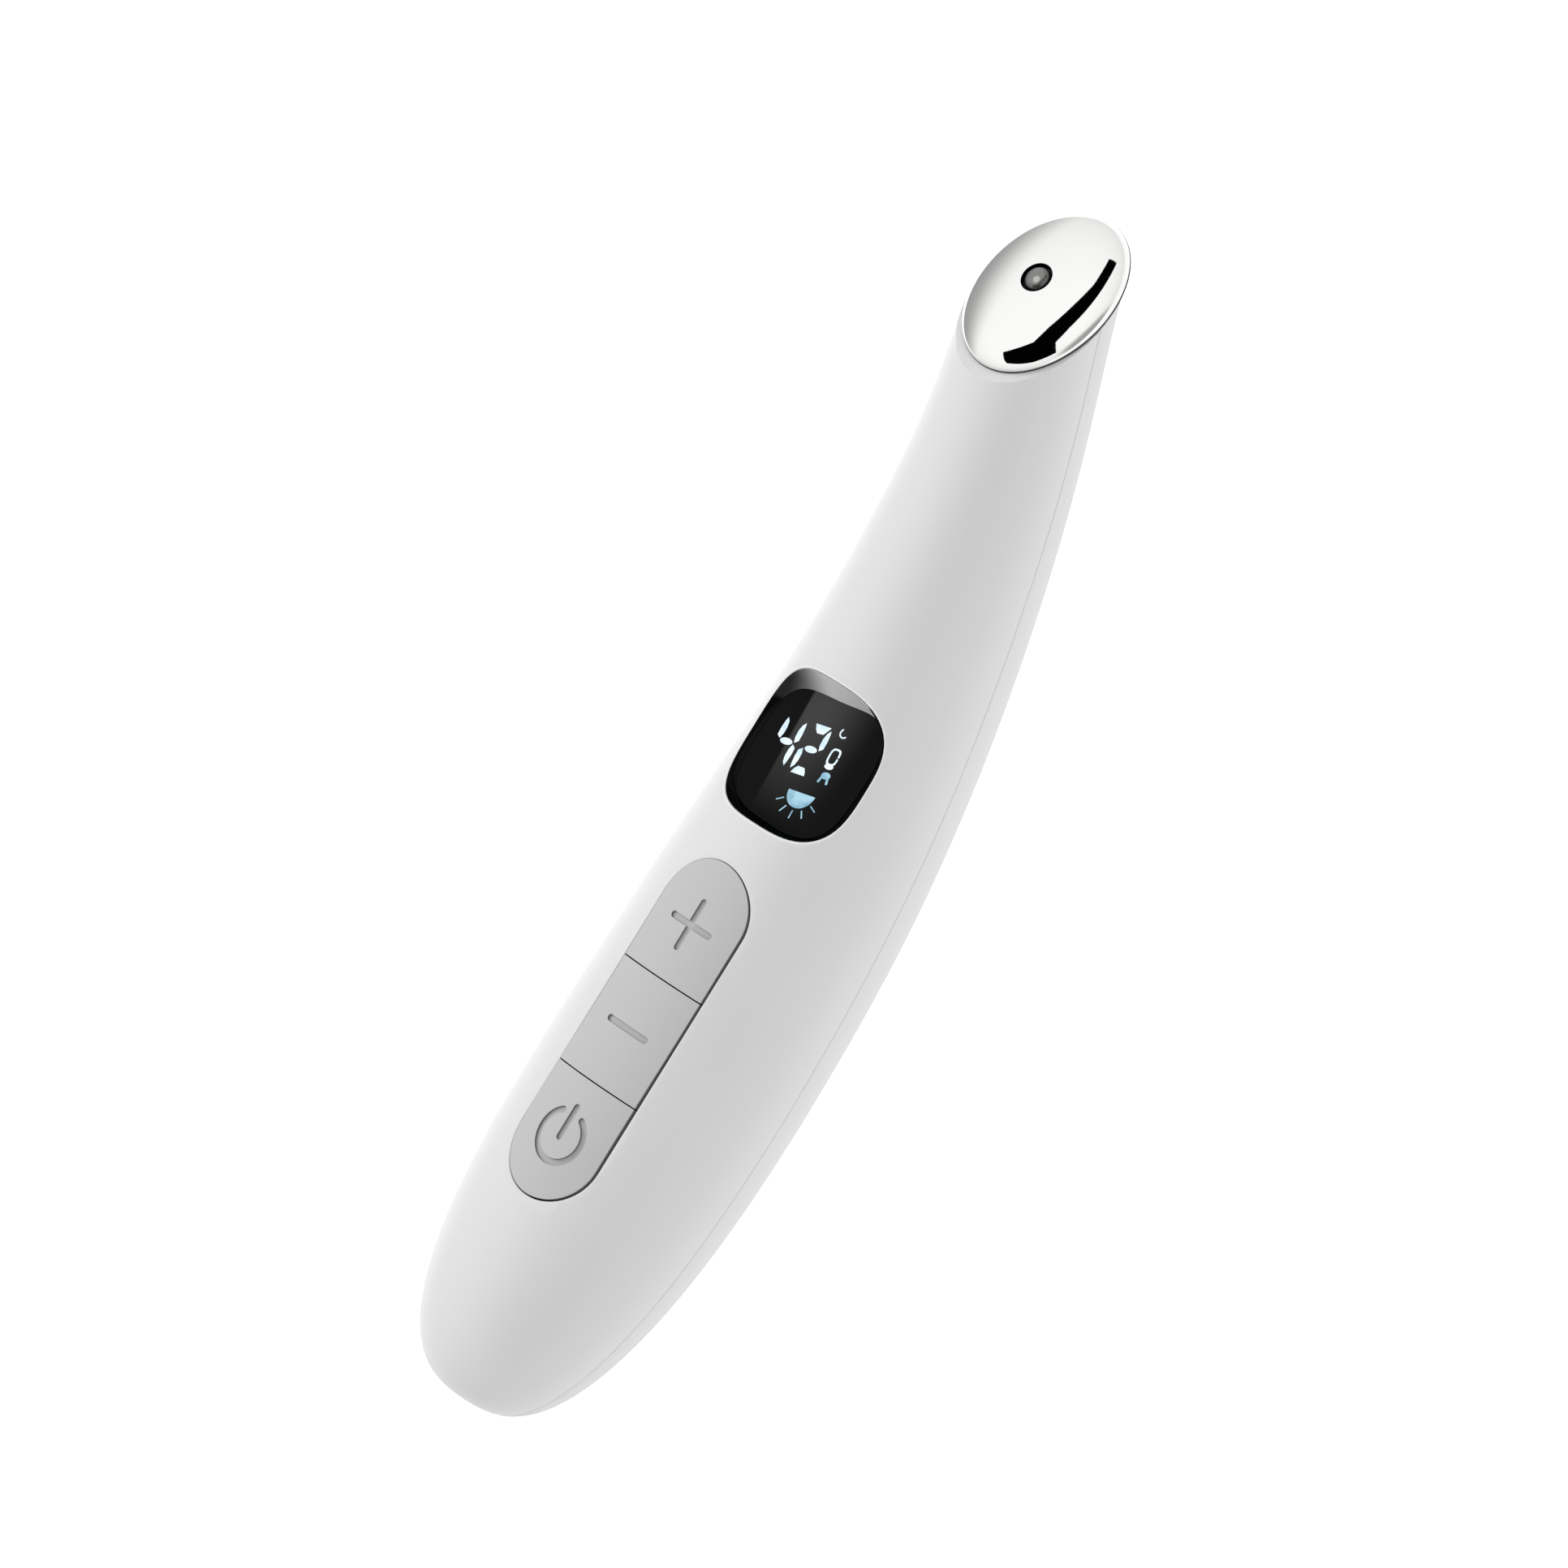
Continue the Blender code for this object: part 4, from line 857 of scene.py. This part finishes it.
# The wall of the dish painted grey as painted shade: everything past a line on the head side, short of the
# right corner
tree = surround_black.node_tree
shader = tree.nodes["Principled BSDF"]
black_paint = shader.inputs["Base Color"].links[0].from_socket
place = add_node(tree, "ShaderNodeTexCoord")
parts = add_node(tree, "ShaderNodeSeparateXYZ", [("Vector", place.outputs["Object"])])
slope = add_node(tree, "ShaderNodeMath", [(0, parts.outputs["X"])], [(1, 0.2)], operation="MULTIPLY")
past_line = add_node(
    tree, "ShaderNodeMath", [(0, parts.outputs["Y"]), (1, slope.outputs[0])], operation="SUBTRACT"
)
on_head_side = add_node(
    tree,
    "ShaderNodeMapRange",
    [("Value", past_line.outputs[0])],
    [("From Min", window_y + 0.0056), ("From Max", window_y + 0.0062)],
)
# Painted shade: dark at the left of the wall, lighter to the right.
painted_shade_ramp = add_node(
    tree,
    "ShaderNodeMapRange",
    [("Value", parts.outputs["X"])],
    [("From Min", -0.0078), ("From Max", -0.001), ("To Min", 0.03), ("To Max", 0.8)],
    interpolation_type="SMOOTHSTEP",
)
before_corner = add_node(
    tree,
    "ShaderNodeMapRange",
    [("Value", parts.outputs["X"])],
    [("From Min", 0.005), ("From Max", 0.0055), ("To Min", 1.0), ("To Max", 0.0)],
)
painted_shade_share = add_node(
    tree,
    "ShaderNodeMath",
    [(0, on_head_side.outputs["Result"]), (1, before_corner.outputs["Result"])],
    operation="MULTIPLY",
)
painted_shade_grey = add_node(
    tree, "ShaderNodeCombineColor", [(name, painted_shade_ramp.outputs["Result"]) for name in ("Red", "Green", "Blue")]
)
black_and_painted_shade = add_node(
    tree,
    "ShaderNodeMix",
    [("Factor", painted_shade_share.outputs[0]), (6, black_paint), (7, painted_shade_grey.outputs[0])],
    data_type="RGBA",
)
tree.links.new(black_and_painted_shade.outputs[2], shader.inputs["Base Color"])
smoked = new_finish(
    "smoked_window",
    grain,
    ((0.003, 0.003, 0.0035), (0.005, 0.005, 0.006), 1500.0, 0.02, 0.04),
    bump=0.0,
    Specular_IOR_Level=0.05,
)
# A painted reflection on the smoked glass: a grey sheen fills the middle, with a crisp left edge where
# the reflected room turns dark, and fades to black towards the right and the foot.
tree = smoked.node_tree
shader = tree.nodes["Principled BSDF"]
behind = shader.inputs["Base Color"].links[0].from_socket
place = add_node(tree, "ShaderNodeTexCoord")
parts = add_node(tree, "ShaderNodeSeparateXYZ", [("Vector", place.outputs["Object"])])
# The crisp left edge of the painted reflection leans with Y.
reflection_edge_slant = add_node(tree, "ShaderNodeMath", [(0, parts.outputs["Y"])], [(1, 0.085)], operation="MULTIPLY")
edge_x = add_node(
    tree, "ShaderNodeMath", [(0, parts.outputs["X"]), (1, reflection_edge_slant.outputs[0])], operation="ADD"
)
crisp = add_node(
    tree,
    "ShaderNodeMapRange",
    [("Value", edge_x.outputs[0])],
    [("From Min", -0.0014), ("From Max", -0.0011)],
)
to_right = add_node(
    tree,
    "ShaderNodeMapRange",
    [("Value", parts.outputs["X"])],
    [("From Min", -0.002), ("From Max", 0.0065), ("To Min", 1.0), ("To Max", 0.0)],
    interpolation_type="SMOOTHSTEP",
)
to_foot = add_node(
    tree,
    "ShaderNodeMapRange",
    [("Value", parts.outputs["Y"])],
    [("From Min", window_y - 0.008), ("From Max", window_y + 0.004), ("To Min", 0.0), ("To Max", 1.0)],
)
tint = add_node(
    tree, "ShaderNodeMath", [(0, to_right.outputs[0]), (1, to_foot.outputs[0])], operation="MULTIPLY"
)
painted_reflection_share = add_node(
    tree, "ShaderNodeMath", [(0, tint.outputs[0]), (1, crisp.outputs[0])], operation="MULTIPLY"
)
with_painted_reflection = add_node(
    tree,
    "ShaderNodeMix",
    [("Factor", painted_reflection_share.outputs[0]), (6, behind)],
    [(7, (0.06, 0.06, 0.06, 1))],
    data_type="RGBA",
)
tree.links.new(with_painted_reflection.outputs[2], shader.inputs["Base Color"])


def surround_ring(shrink, drop=None, level=None):
    """A ring of the surround, either a drop below the handle's front or level with the window."""
    outline = window_outline(window_half_width - shrink, window_half_length - shrink, (0, window_y))
    if drop is None:
        to_window = window_place.inverted()
        flat = [to_window @ Vector((x, y, front_z(x, y))) for x, y in outline]
        return [window_place @ Vector((point.x, point.y, level)) for point in flat]
    return [Vector((x, y, front_z(x, y) - drop)) for x, y in outline]


rim = surround_ring(surround_gap, drop=rim_sink)
lip = surround_ring(surround_edge, drop=lip_sink)
dish_foot_ring = []
for x, y in window_outline(window_half_width, window_half_length):
    share_x = max(0.0, (x / window_half_width + 1) / 2)
    share_y = (y / window_half_length + 1) / 2
    swell = math.sin(math.pi * share_x**0.7) * (1 - 0.6 * share_x**2)
    top_margin = dish_foot + dish_top * max(0.0, swell)
    x = (2 * window_half_width - dish_left - dish_right) * share_x - window_half_width + dish_left
    y = (2 * window_half_length - dish_foot - top_margin) * share_y - window_half_length + dish_foot
    dish_foot_ring.append(window_place @ Vector((x, y, dish_foot_level)))
rings = [surround_ring(surround_gap, level=0.0), rim, lip]
for share in (0.15, 0.35, 0.6, 0.85, 1.0):
    bow = dish_bow * math.sin(math.pi * share)
    rings.append([a.lerp(b, share) - Vector((0, 0, bow)) for a, b in zip(lip, dish_foot_ring)])
surround = draw_out("display_surround", rings, open_ring=True)
smooth(surround, 40)
dress(surround, surround_black, "handle", "black_gloss", "display_bezel")

glass_outline = window_outline(window_half_width - glass_inset, window_half_length - glass_inset)
glass_rings = [
    [window_place @ Vector((x * scale, y * scale, z)) for x, y in glass_outline]
    for scale, z in ((1.0, -glass_thickness), (1.0, -glass_edge), (glass_edge_share, 0.0))
]
glass = draw_out("display_window", glass_rings)
smooth(glass)
dress(glass, smoked, "handle", "smoked_window", "display_lens")

# Lit signs: the figures 42, a small degree hook, a charge sign and a lamp with five rays, all as
# thin lit shapes on the window. They stand a little askew, so their rows climb to the right. The
# figures are lit white, and the lamp and the foot of the charge sign light blue.
row_climb = 0.19
column_lean = -0.09
lit_low = 0.00002
lit_high = 0.00006


def new_lit_finish(name, faint, strong):
    """A lit colour, a little uneven, as a small lamp behind a mask makes it."""
    material = bpy.data.materials.new(name)
    material.use_nodes = True
    tree = material.node_tree
    shader = tree.nodes["Principled BSDF"]
    shader.inputs["Base Color"].default_value = (0.05, 0.06, 0.07, 1)
    shader.inputs["Roughness"].default_value = 0.3
    shader.inputs["Emission Strength"].default_value = 1.0
    place = add_node(tree, "ShaderNodeTexCoord")
    haze = add_node(
        tree, "ShaderNodeTexNoise", [("Vector", place.outputs["Object"])], [("Scale", 700.0), ("Detail", 2.0)]
    )
    tint = add_node(tree, "ShaderNodeValToRGB", [("Fac", haze.outputs["Fac"])])
    tint.color_ramp.elements[0].position = 0.35
    tint.color_ramp.elements[0].color = (*faint, 1)
    tint.color_ramp.elements[1].position = 0.6
    tint.color_ramp.elements[1].color = (*strong, 1)
    tree.links.new(tint.outputs["Color"], shader.inputs["Emission Color"])
    return material


lit_white = new_lit_finish("lit_white", (0.6, 0.78, 0.88), (0.86, 0.95, 1.0))
lit_blue = new_lit_finish("lit_blue", (0.16, 0.36, 0.5), (0.36, 0.62, 0.76))


def on_window(a, b, origin, level):
    """A place on the window, a along the row and b up the column from an origin, in millimetres."""
    x = origin[0] + a + b * column_lean
    y = origin[1] + a * row_climb + b
    return window_place @ Vector((x / 1000, y / 1000, level))


def lit_piece(name, origin, outlines, finish=lit_white):
    """One lit sign, made of the raised outlines of its parts."""
    parts = []
    for outline in outlines:
        rings = [[on_window(a, b, origin, level) for a, b in outline] for level in (lit_low, lit_high)]
        parts.append(draw_out(name, rings))
    bpy.ops.object.select_all(action="DESELECT")
    for part in parts:
        part.select_set(True)
    bpy.context.view_layer.objects.active = parts[0]
    if len(parts) > 1:
        bpy.ops.object.join()
    parts[0].name = name
    dress(parts[0], finish, "handle", "smoked_window")
    return parts[0]


def round_patch(a, b, half_a, half_b, steps=24, start=0.0, sweep=360.0):
    turns = [math.radians(start + sweep * i / steps) for i in range(steps if sweep == 360 else steps + 1)]
    return [(a + half_a * math.cos(turn), b + half_b * math.sin(turn)) for turn in turns]


def upright_leaf(side, up):
    """An upright stroke of a figure: straight outside, bowed inside, pointed at both ends."""
    outer = ((1.5, 0.45), (1.52, 1.3), (1.42, 2.25), (1.3, 2.7))
    inner = ((0.98, 2.3), (0.82, 1.6), (0.84, 0.75), (1.05, 0.12))
    return [(side * a, up * b) for a, b in outer + inner]


cross_stroke = round_patch(0, 0, 0.84, 0.4)
top_stroke = [(-1.05, 3.05), (1.08, 3.05), (0.95, 2.75), (0.5, 2.05), (-0.35, 2.0), (-0.75, 2.45)]
foot_stroke = [(-0.98, -3.15), (0.95, -3.15), (0.8, -2.7), (0.5, -2.25), (-0.4, -2.22), (-0.75, -2.6)]
lit_piece(
    "figure_four", (-4.04, 0.39), (upright_leaf(-1, 1), upright_leaf(1, 1), cross_stroke, upright_leaf(1, -1))
)
lit_piece(
    "figure_two",
    (-0.49, 1.07),
    (top_stroke, upright_leaf(1, 1), cross_stroke, upright_leaf(-1, -1), foot_stroke),
)


def lit_stroke(start, end, half_thick):
    """A straight stroke between two places."""
    start, end = Vector(start), Vector(end)
    side = (end - start).normalized().orthogonal() * half_thick
    return [tuple(start + side), tuple(start - side), tuple(end - side), tuple(end + side)]


def lit_arc(a, b, radius, thick, start, sweep, steps=20):
    outer = round_patch(a, b, radius, radius, steps, start, sweep)
    inner = round_patch(a, b, radius - thick, radius - thick, steps, start, sweep)
    return outer + inner[::-1]


def lit_ring(half_a, half_b, thick):
    """A rounded upright ring, open by a hair at its right so that it stays one outline."""
    outer = window_outline(half_a, half_b)[1:]
    inner = window_outline(half_a - thick, half_b - thick)[1:]
    return outer + inner[::-1]


lit_piece("degree_hook", (2.25, 4.6), (lit_arc(0, 0, 0.62, 0.17, 130, 190),))
lit_piece(
    "charge_sign_cell",
    (2.8, 1.7),
    (lit_ring(0.72, 1.05, 0.22), round_patch(0.05, -1.2, 0.6, 0.34)),
)
foot_feet = [lit_stroke((side * 0.4, -0.2), (side * 0.6, -0.95), 0.14) for side in (-1, 1)]
lit_piece("charge_sign_foot", (3.3, -0.55), [round_patch(0, 0, 0.62, 0.42)] + foot_feet, lit_blue)
lamp_centre = (1.86, -3.6)
lamp_radius = 1.87
lit_piece("lamp_sign", lamp_centre, [round_patch(0, 0, lamp_radius, lamp_radius, 32, 180, 180)], lit_blue)
rays = []
for i in range(5):
    turn = math.radians(210 + 30 * i)
    along = Vector((math.cos(turn), math.sin(turn)))
    rays.append(lit_stroke(along * 2.2, along * 3.2, 0.07))
lit_piece("lamp_rays", lamp_centre, rays, lit_blue)

# Metal head: a cap pressed from 0.8 mm sheet and plated bright, oval, domed 3 mm and slanted across
# the end of the neck, with a hole in its middle for the light. Its rim is turned down towards
# the end of the neck and painted dark along the gap under it, as painted shade and painted reflection.
dome = 0.0031
sheet_metal = 0.0008
lens_hole = 0.0019
rim_inset = 0.0001
rim_drop = 0.00026
rim_lip = 0.00005
rim_lip_drop = 0.00006
dome_power = 1.1
dome_steps = 32
rim_level = 0.00001
rim_share = 0.9


def dome_ring(share, drawn_in=0.0, points=128):
    """A ring of the dome, at the rim for share 1 and round the hole for share 0."""
    wide, long = head_half_width - rim_inset - drawn_in, head_half_length - rim_inset - drawn_in
    half_x = lens_hole + (wide - lens_hole) * share
    half_y = lens_hole + (long - lens_hole) * share
    ring = []
    for i in range(points):
        turn = 2 * math.pi * i / points
        x, y = half_x * math.cos(turn), half_y * math.sin(turn)
        spread = (x / wide) ** 2 + (y / long) ** 2
        rise = (dome - drawn_in) * math.sqrt(max(0.0, 1 - spread**dome_power))
        ring.append(head_place @ Vector((x, y, rise)))
    return ring


def rim_ring(drawn_in, drop):
    """A ring of the turned-down rim, drawn in or, below zero, standing out."""
    down = head_place.to_3x3() @ Vector((0, 0, -drop))
    return [point + down for point in dome_ring(1.0, drawn_in)]


shares = [math.sin(math.pi / 2 * i / dome_steps) for i in range(dome_steps + 1)]
rings = [dome_ring(share) for share in shares]
rings += [rim_ring(-rim_lip, rim_lip_drop), rim_ring(-rim_lip, rim_drop), rim_ring(sheet_metal, rim_drop)]
rings += [dome_ring(share, sheet_metal) for share in reversed(shares)]
cap = draw_out("bright_head_cap", rings, open_ring=True)
smooth(cap, 40)
bright = new_finish(
    "bright_plate",
    grain,
    ((0.93, 0.93, 0.92), (0.9, 0.9, 0.89), 900.0, 0.03, 0.05),
    bump=0.0,
    metallic=1.0,
)
rim_painted_shade = new_finish(
    "rim_metal_painted_shade",
    drawn,
    ((0.1, 0.1, 0.1), (0.06, 0.06, 0.06), 4000.0, 0.3, 0.4),
    metallic=1.0,
)
cap.data.materials.append(bright)
cap.data.materials.append(rim_painted_shade)
# The rim faces get the dark finish: painted shade and painted reflection along the gap under the cap.
to_head = head_place.inverted()
for face in cap.data.polygons:
    spots = [to_head @ cap.data.vertices[i].co for i in face.vertices]
    spread = [(spot.x / head_half_width) ** 2 + (spot.y / head_half_length) ** 2 for spot in spots]
    if max(spot.z for spot in spots) < rim_level and min(spread) > rim_share:
        face.material_index = 1
dress(cap, bright, "handle", "chrome", "chrome_head_cap")

# Light: a clear grey lens that stands a little out of the hole in the head, over the small lamp. A
# soft black rubber ring behind the metal holds it.
ring_outer = 0.0029
ring_inner = 0.0016
ring_foot = dome - 0.0018
ring_shoulder = dome - 0.0012
ring_top = dome - 0.0009
ring_bevel = 0.0001
lens_radius = 0.0015
lens_foot = 0.0014
lens_shoulder = dome - 0.0003
lens_bulge = 0.0006
lens_steps = 12
# The middle of a painted highlight on the lens.
painted_glint_place = head_place @ Vector((0.0004, -0.0003, dome + 0.0002))


def round_ring(radius, level, points=48):
    turns = [2 * math.pi * i / points for i in range(points)]
    return [head_place @ Vector((radius * math.cos(turn), radius * math.sin(turn), level)) for turn in turns]


ring_profile = [
    (ring_outer, ring_foot), (ring_outer, ring_shoulder), (ring_inner + ring_bevel, ring_top),
    (ring_inner, ring_top - ring_bevel), (ring_inner, ring_foot),
]
light_ring = draw_out("light_ring", [round_ring(*place) for place in ring_profile], open_ring=True)
soft_black = new_finish(
    "soft_black_rubber", grain, ((0.03, 0.03, 0.03), (0.04, 0.04, 0.04), 6000.0, 0.5, 0.7), bump=0.2
)
smooth(light_ring)
dress(light_ring, soft_black, "handle", "black_rubber", "lens_ring")
lens_rings = [round_ring(lens_radius, lens_foot), round_ring(lens_radius, lens_shoulder)]
for i in range(1, lens_steps + 1):
    turn = math.pi / 2 * i / lens_steps
    crown = lens_shoulder + lens_bulge * math.sin(turn)
    lens_rings.append(round_ring(lens_radius * math.cos(turn), crown))
lens = draw_out("light_window", lens_rings)
smooth(lens)
lens_grey = new_finish(
    "grey_light_lens",
    grain,
    ((0.15, 0.145, 0.14), (0.24, 0.23, 0.22), 900.0, 0.08, 0.14),
    bump=0.02,
    Coat_Weight=1.0,
    Coat_Roughness=0.03,
)
# The lens is darker round its edge, and a small pale spot on it is a painted highlight
tree = lens_grey.node_tree
shader = tree.nodes["Principled BSDF"]
clear_grey = shader.inputs["Base Color"].links[0].from_socket
place = add_node(tree, "ShaderNodeTexCoord")
distances = []
for centre in (head_place @ Vector((0, 0, dome)), painted_glint_place):
    distances.append(
        add_node(
            tree,
            "ShaderNodeVectorMath",
            [("Vector", place.outputs["Object"])],
            [(1, centre)],
            operation="DISTANCE",
        )
    )
for reach, low, high, colour in (
    (distances[0], 0.0009, 0.0014, (0.03, 0.03, 0.03, 1)),
    (distances[1], 0.0005, 0.0003, (0.5, 0.5, 0.49, 1)),
):
    mask = add_node(
        tree,
        "ShaderNodeMapRange",
        [("Value", reach.outputs["Value"])],
        [("From Min", low), ("From Max", high)],
    )
    toned = add_node(
        tree,
        "ShaderNodeMix",
        [("Factor", mask.outputs["Result"]), (6, clear_grey)],
        [(7, colour)],
        data_type="RGBA",
    )
    clear_grey = toned.outputs[2]
tree.links.new(clear_grey, shader.inputs["Base Color"])
dress(lens, lens_grey, "handle", "light_lens", "led_lens")

# Inner parts: the boards, switches, cell, motor, leads and screws inside the shells. They keep the
# shape that the frame gives them, each in the finish of what it is made of.
board_green = new_finish(
    "green_board", grain, ((0.01, 0.13, 0.05), (0.02, 0.2, 0.08), 1200.0, 0.25, 0.4), bump=0.1
)
steel = new_finish(
    "plain_steel", drawn, ((0.6, 0.6, 0.6), (0.5, 0.5, 0.49), 4000.0, 0.22, 0.36), metallic=1.0
)
weight_metal = new_finish(
    "weight_metal", drawn, ((0.45, 0.42, 0.36), (0.36, 0.33, 0.28), 3000.0, 0.3, 0.45), metallic=1.0
)
natural = new_finish(
    "natural_plastic", grain, ((0.72, 0.71, 0.67), (0.66, 0.65, 0.6), 2500.0, 0.4, 0.55), bump=0.1
)
amber = new_finish("amber_film", grain, ((0.7, 0.33, 0.05), (0.6, 0.26, 0.04), 1500.0, 0.25, 0.4), bump=0.03)
chip_black = new_finish(
    "chip_black", grain, ((0.02, 0.02, 0.02), (0.03, 0.03, 0.03), 7000.0, 0.45, 0.6), bump=0.2
)
foam = new_finish("grey_foam", grain, ((0.16, 0.16, 0.16), (0.24, 0.24, 0.24), 2200.0, 0.85, 0.95), bump=0.6)
sleeve = new_finish("cell_sleeve", drawn, ((0.03, 0.14, 0.42), (0.04, 0.18, 0.5), 2500.0, 0.3, 0.42))
yellow = new_finish("yellow_light", grain, ((0.85, 0.72, 0.2), (0.78, 0.62, 0.14), 1500.0, 0.3, 0.4))
red = new_finish("red_lead", grain, ((0.5, 0.02, 0.015), (0.42, 0.02, 0.01), 3000.0, 0.4, 0.5))
black = new_finish("black_lead", grain, ((0.02, 0.02, 0.02), (0.03, 0.03, 0.03), 3000.0, 0.4, 0.5))
inner_finishes = {
    "main_board": board_green, "charge_board": board_green, "head_board": board_green,
    "controller_chip": chip_black, "display_module": chip_black, "usb_port_tongue": chip_black,
    "plus_switch": chip_black, "minus_switch": chip_black, "power_switch": chip_black,
    "temperature_sensor": chip_black, "display_gasket": foam, "motor_cradle": soft_black,
    "board_screw_1": steel, "board_screw_2": steel, "usb_port_shell": steel, "motor_can": steel,
    "motor_shaft": steel, "eccentric_weight": weight_metal, "motor_end_cap": natural,
    "head_carrier": natural, "battery_tray": natural, "heater_film": amber, "head_ribbon": amber,
    "battery_cell": sleeve, "light_led": yellow, "battery_lead_red": red, "charge_lead_red": red,
    "motor_lead_red": red, "battery_lead_black": black, "charge_lead_black": black,
    "motor_lead_black": black,
}
for name, finish in inner_finishes.items():
    node = bpy.data.objects[name]
    node.data.materials.clear()
    node.data.materials.append(finish)
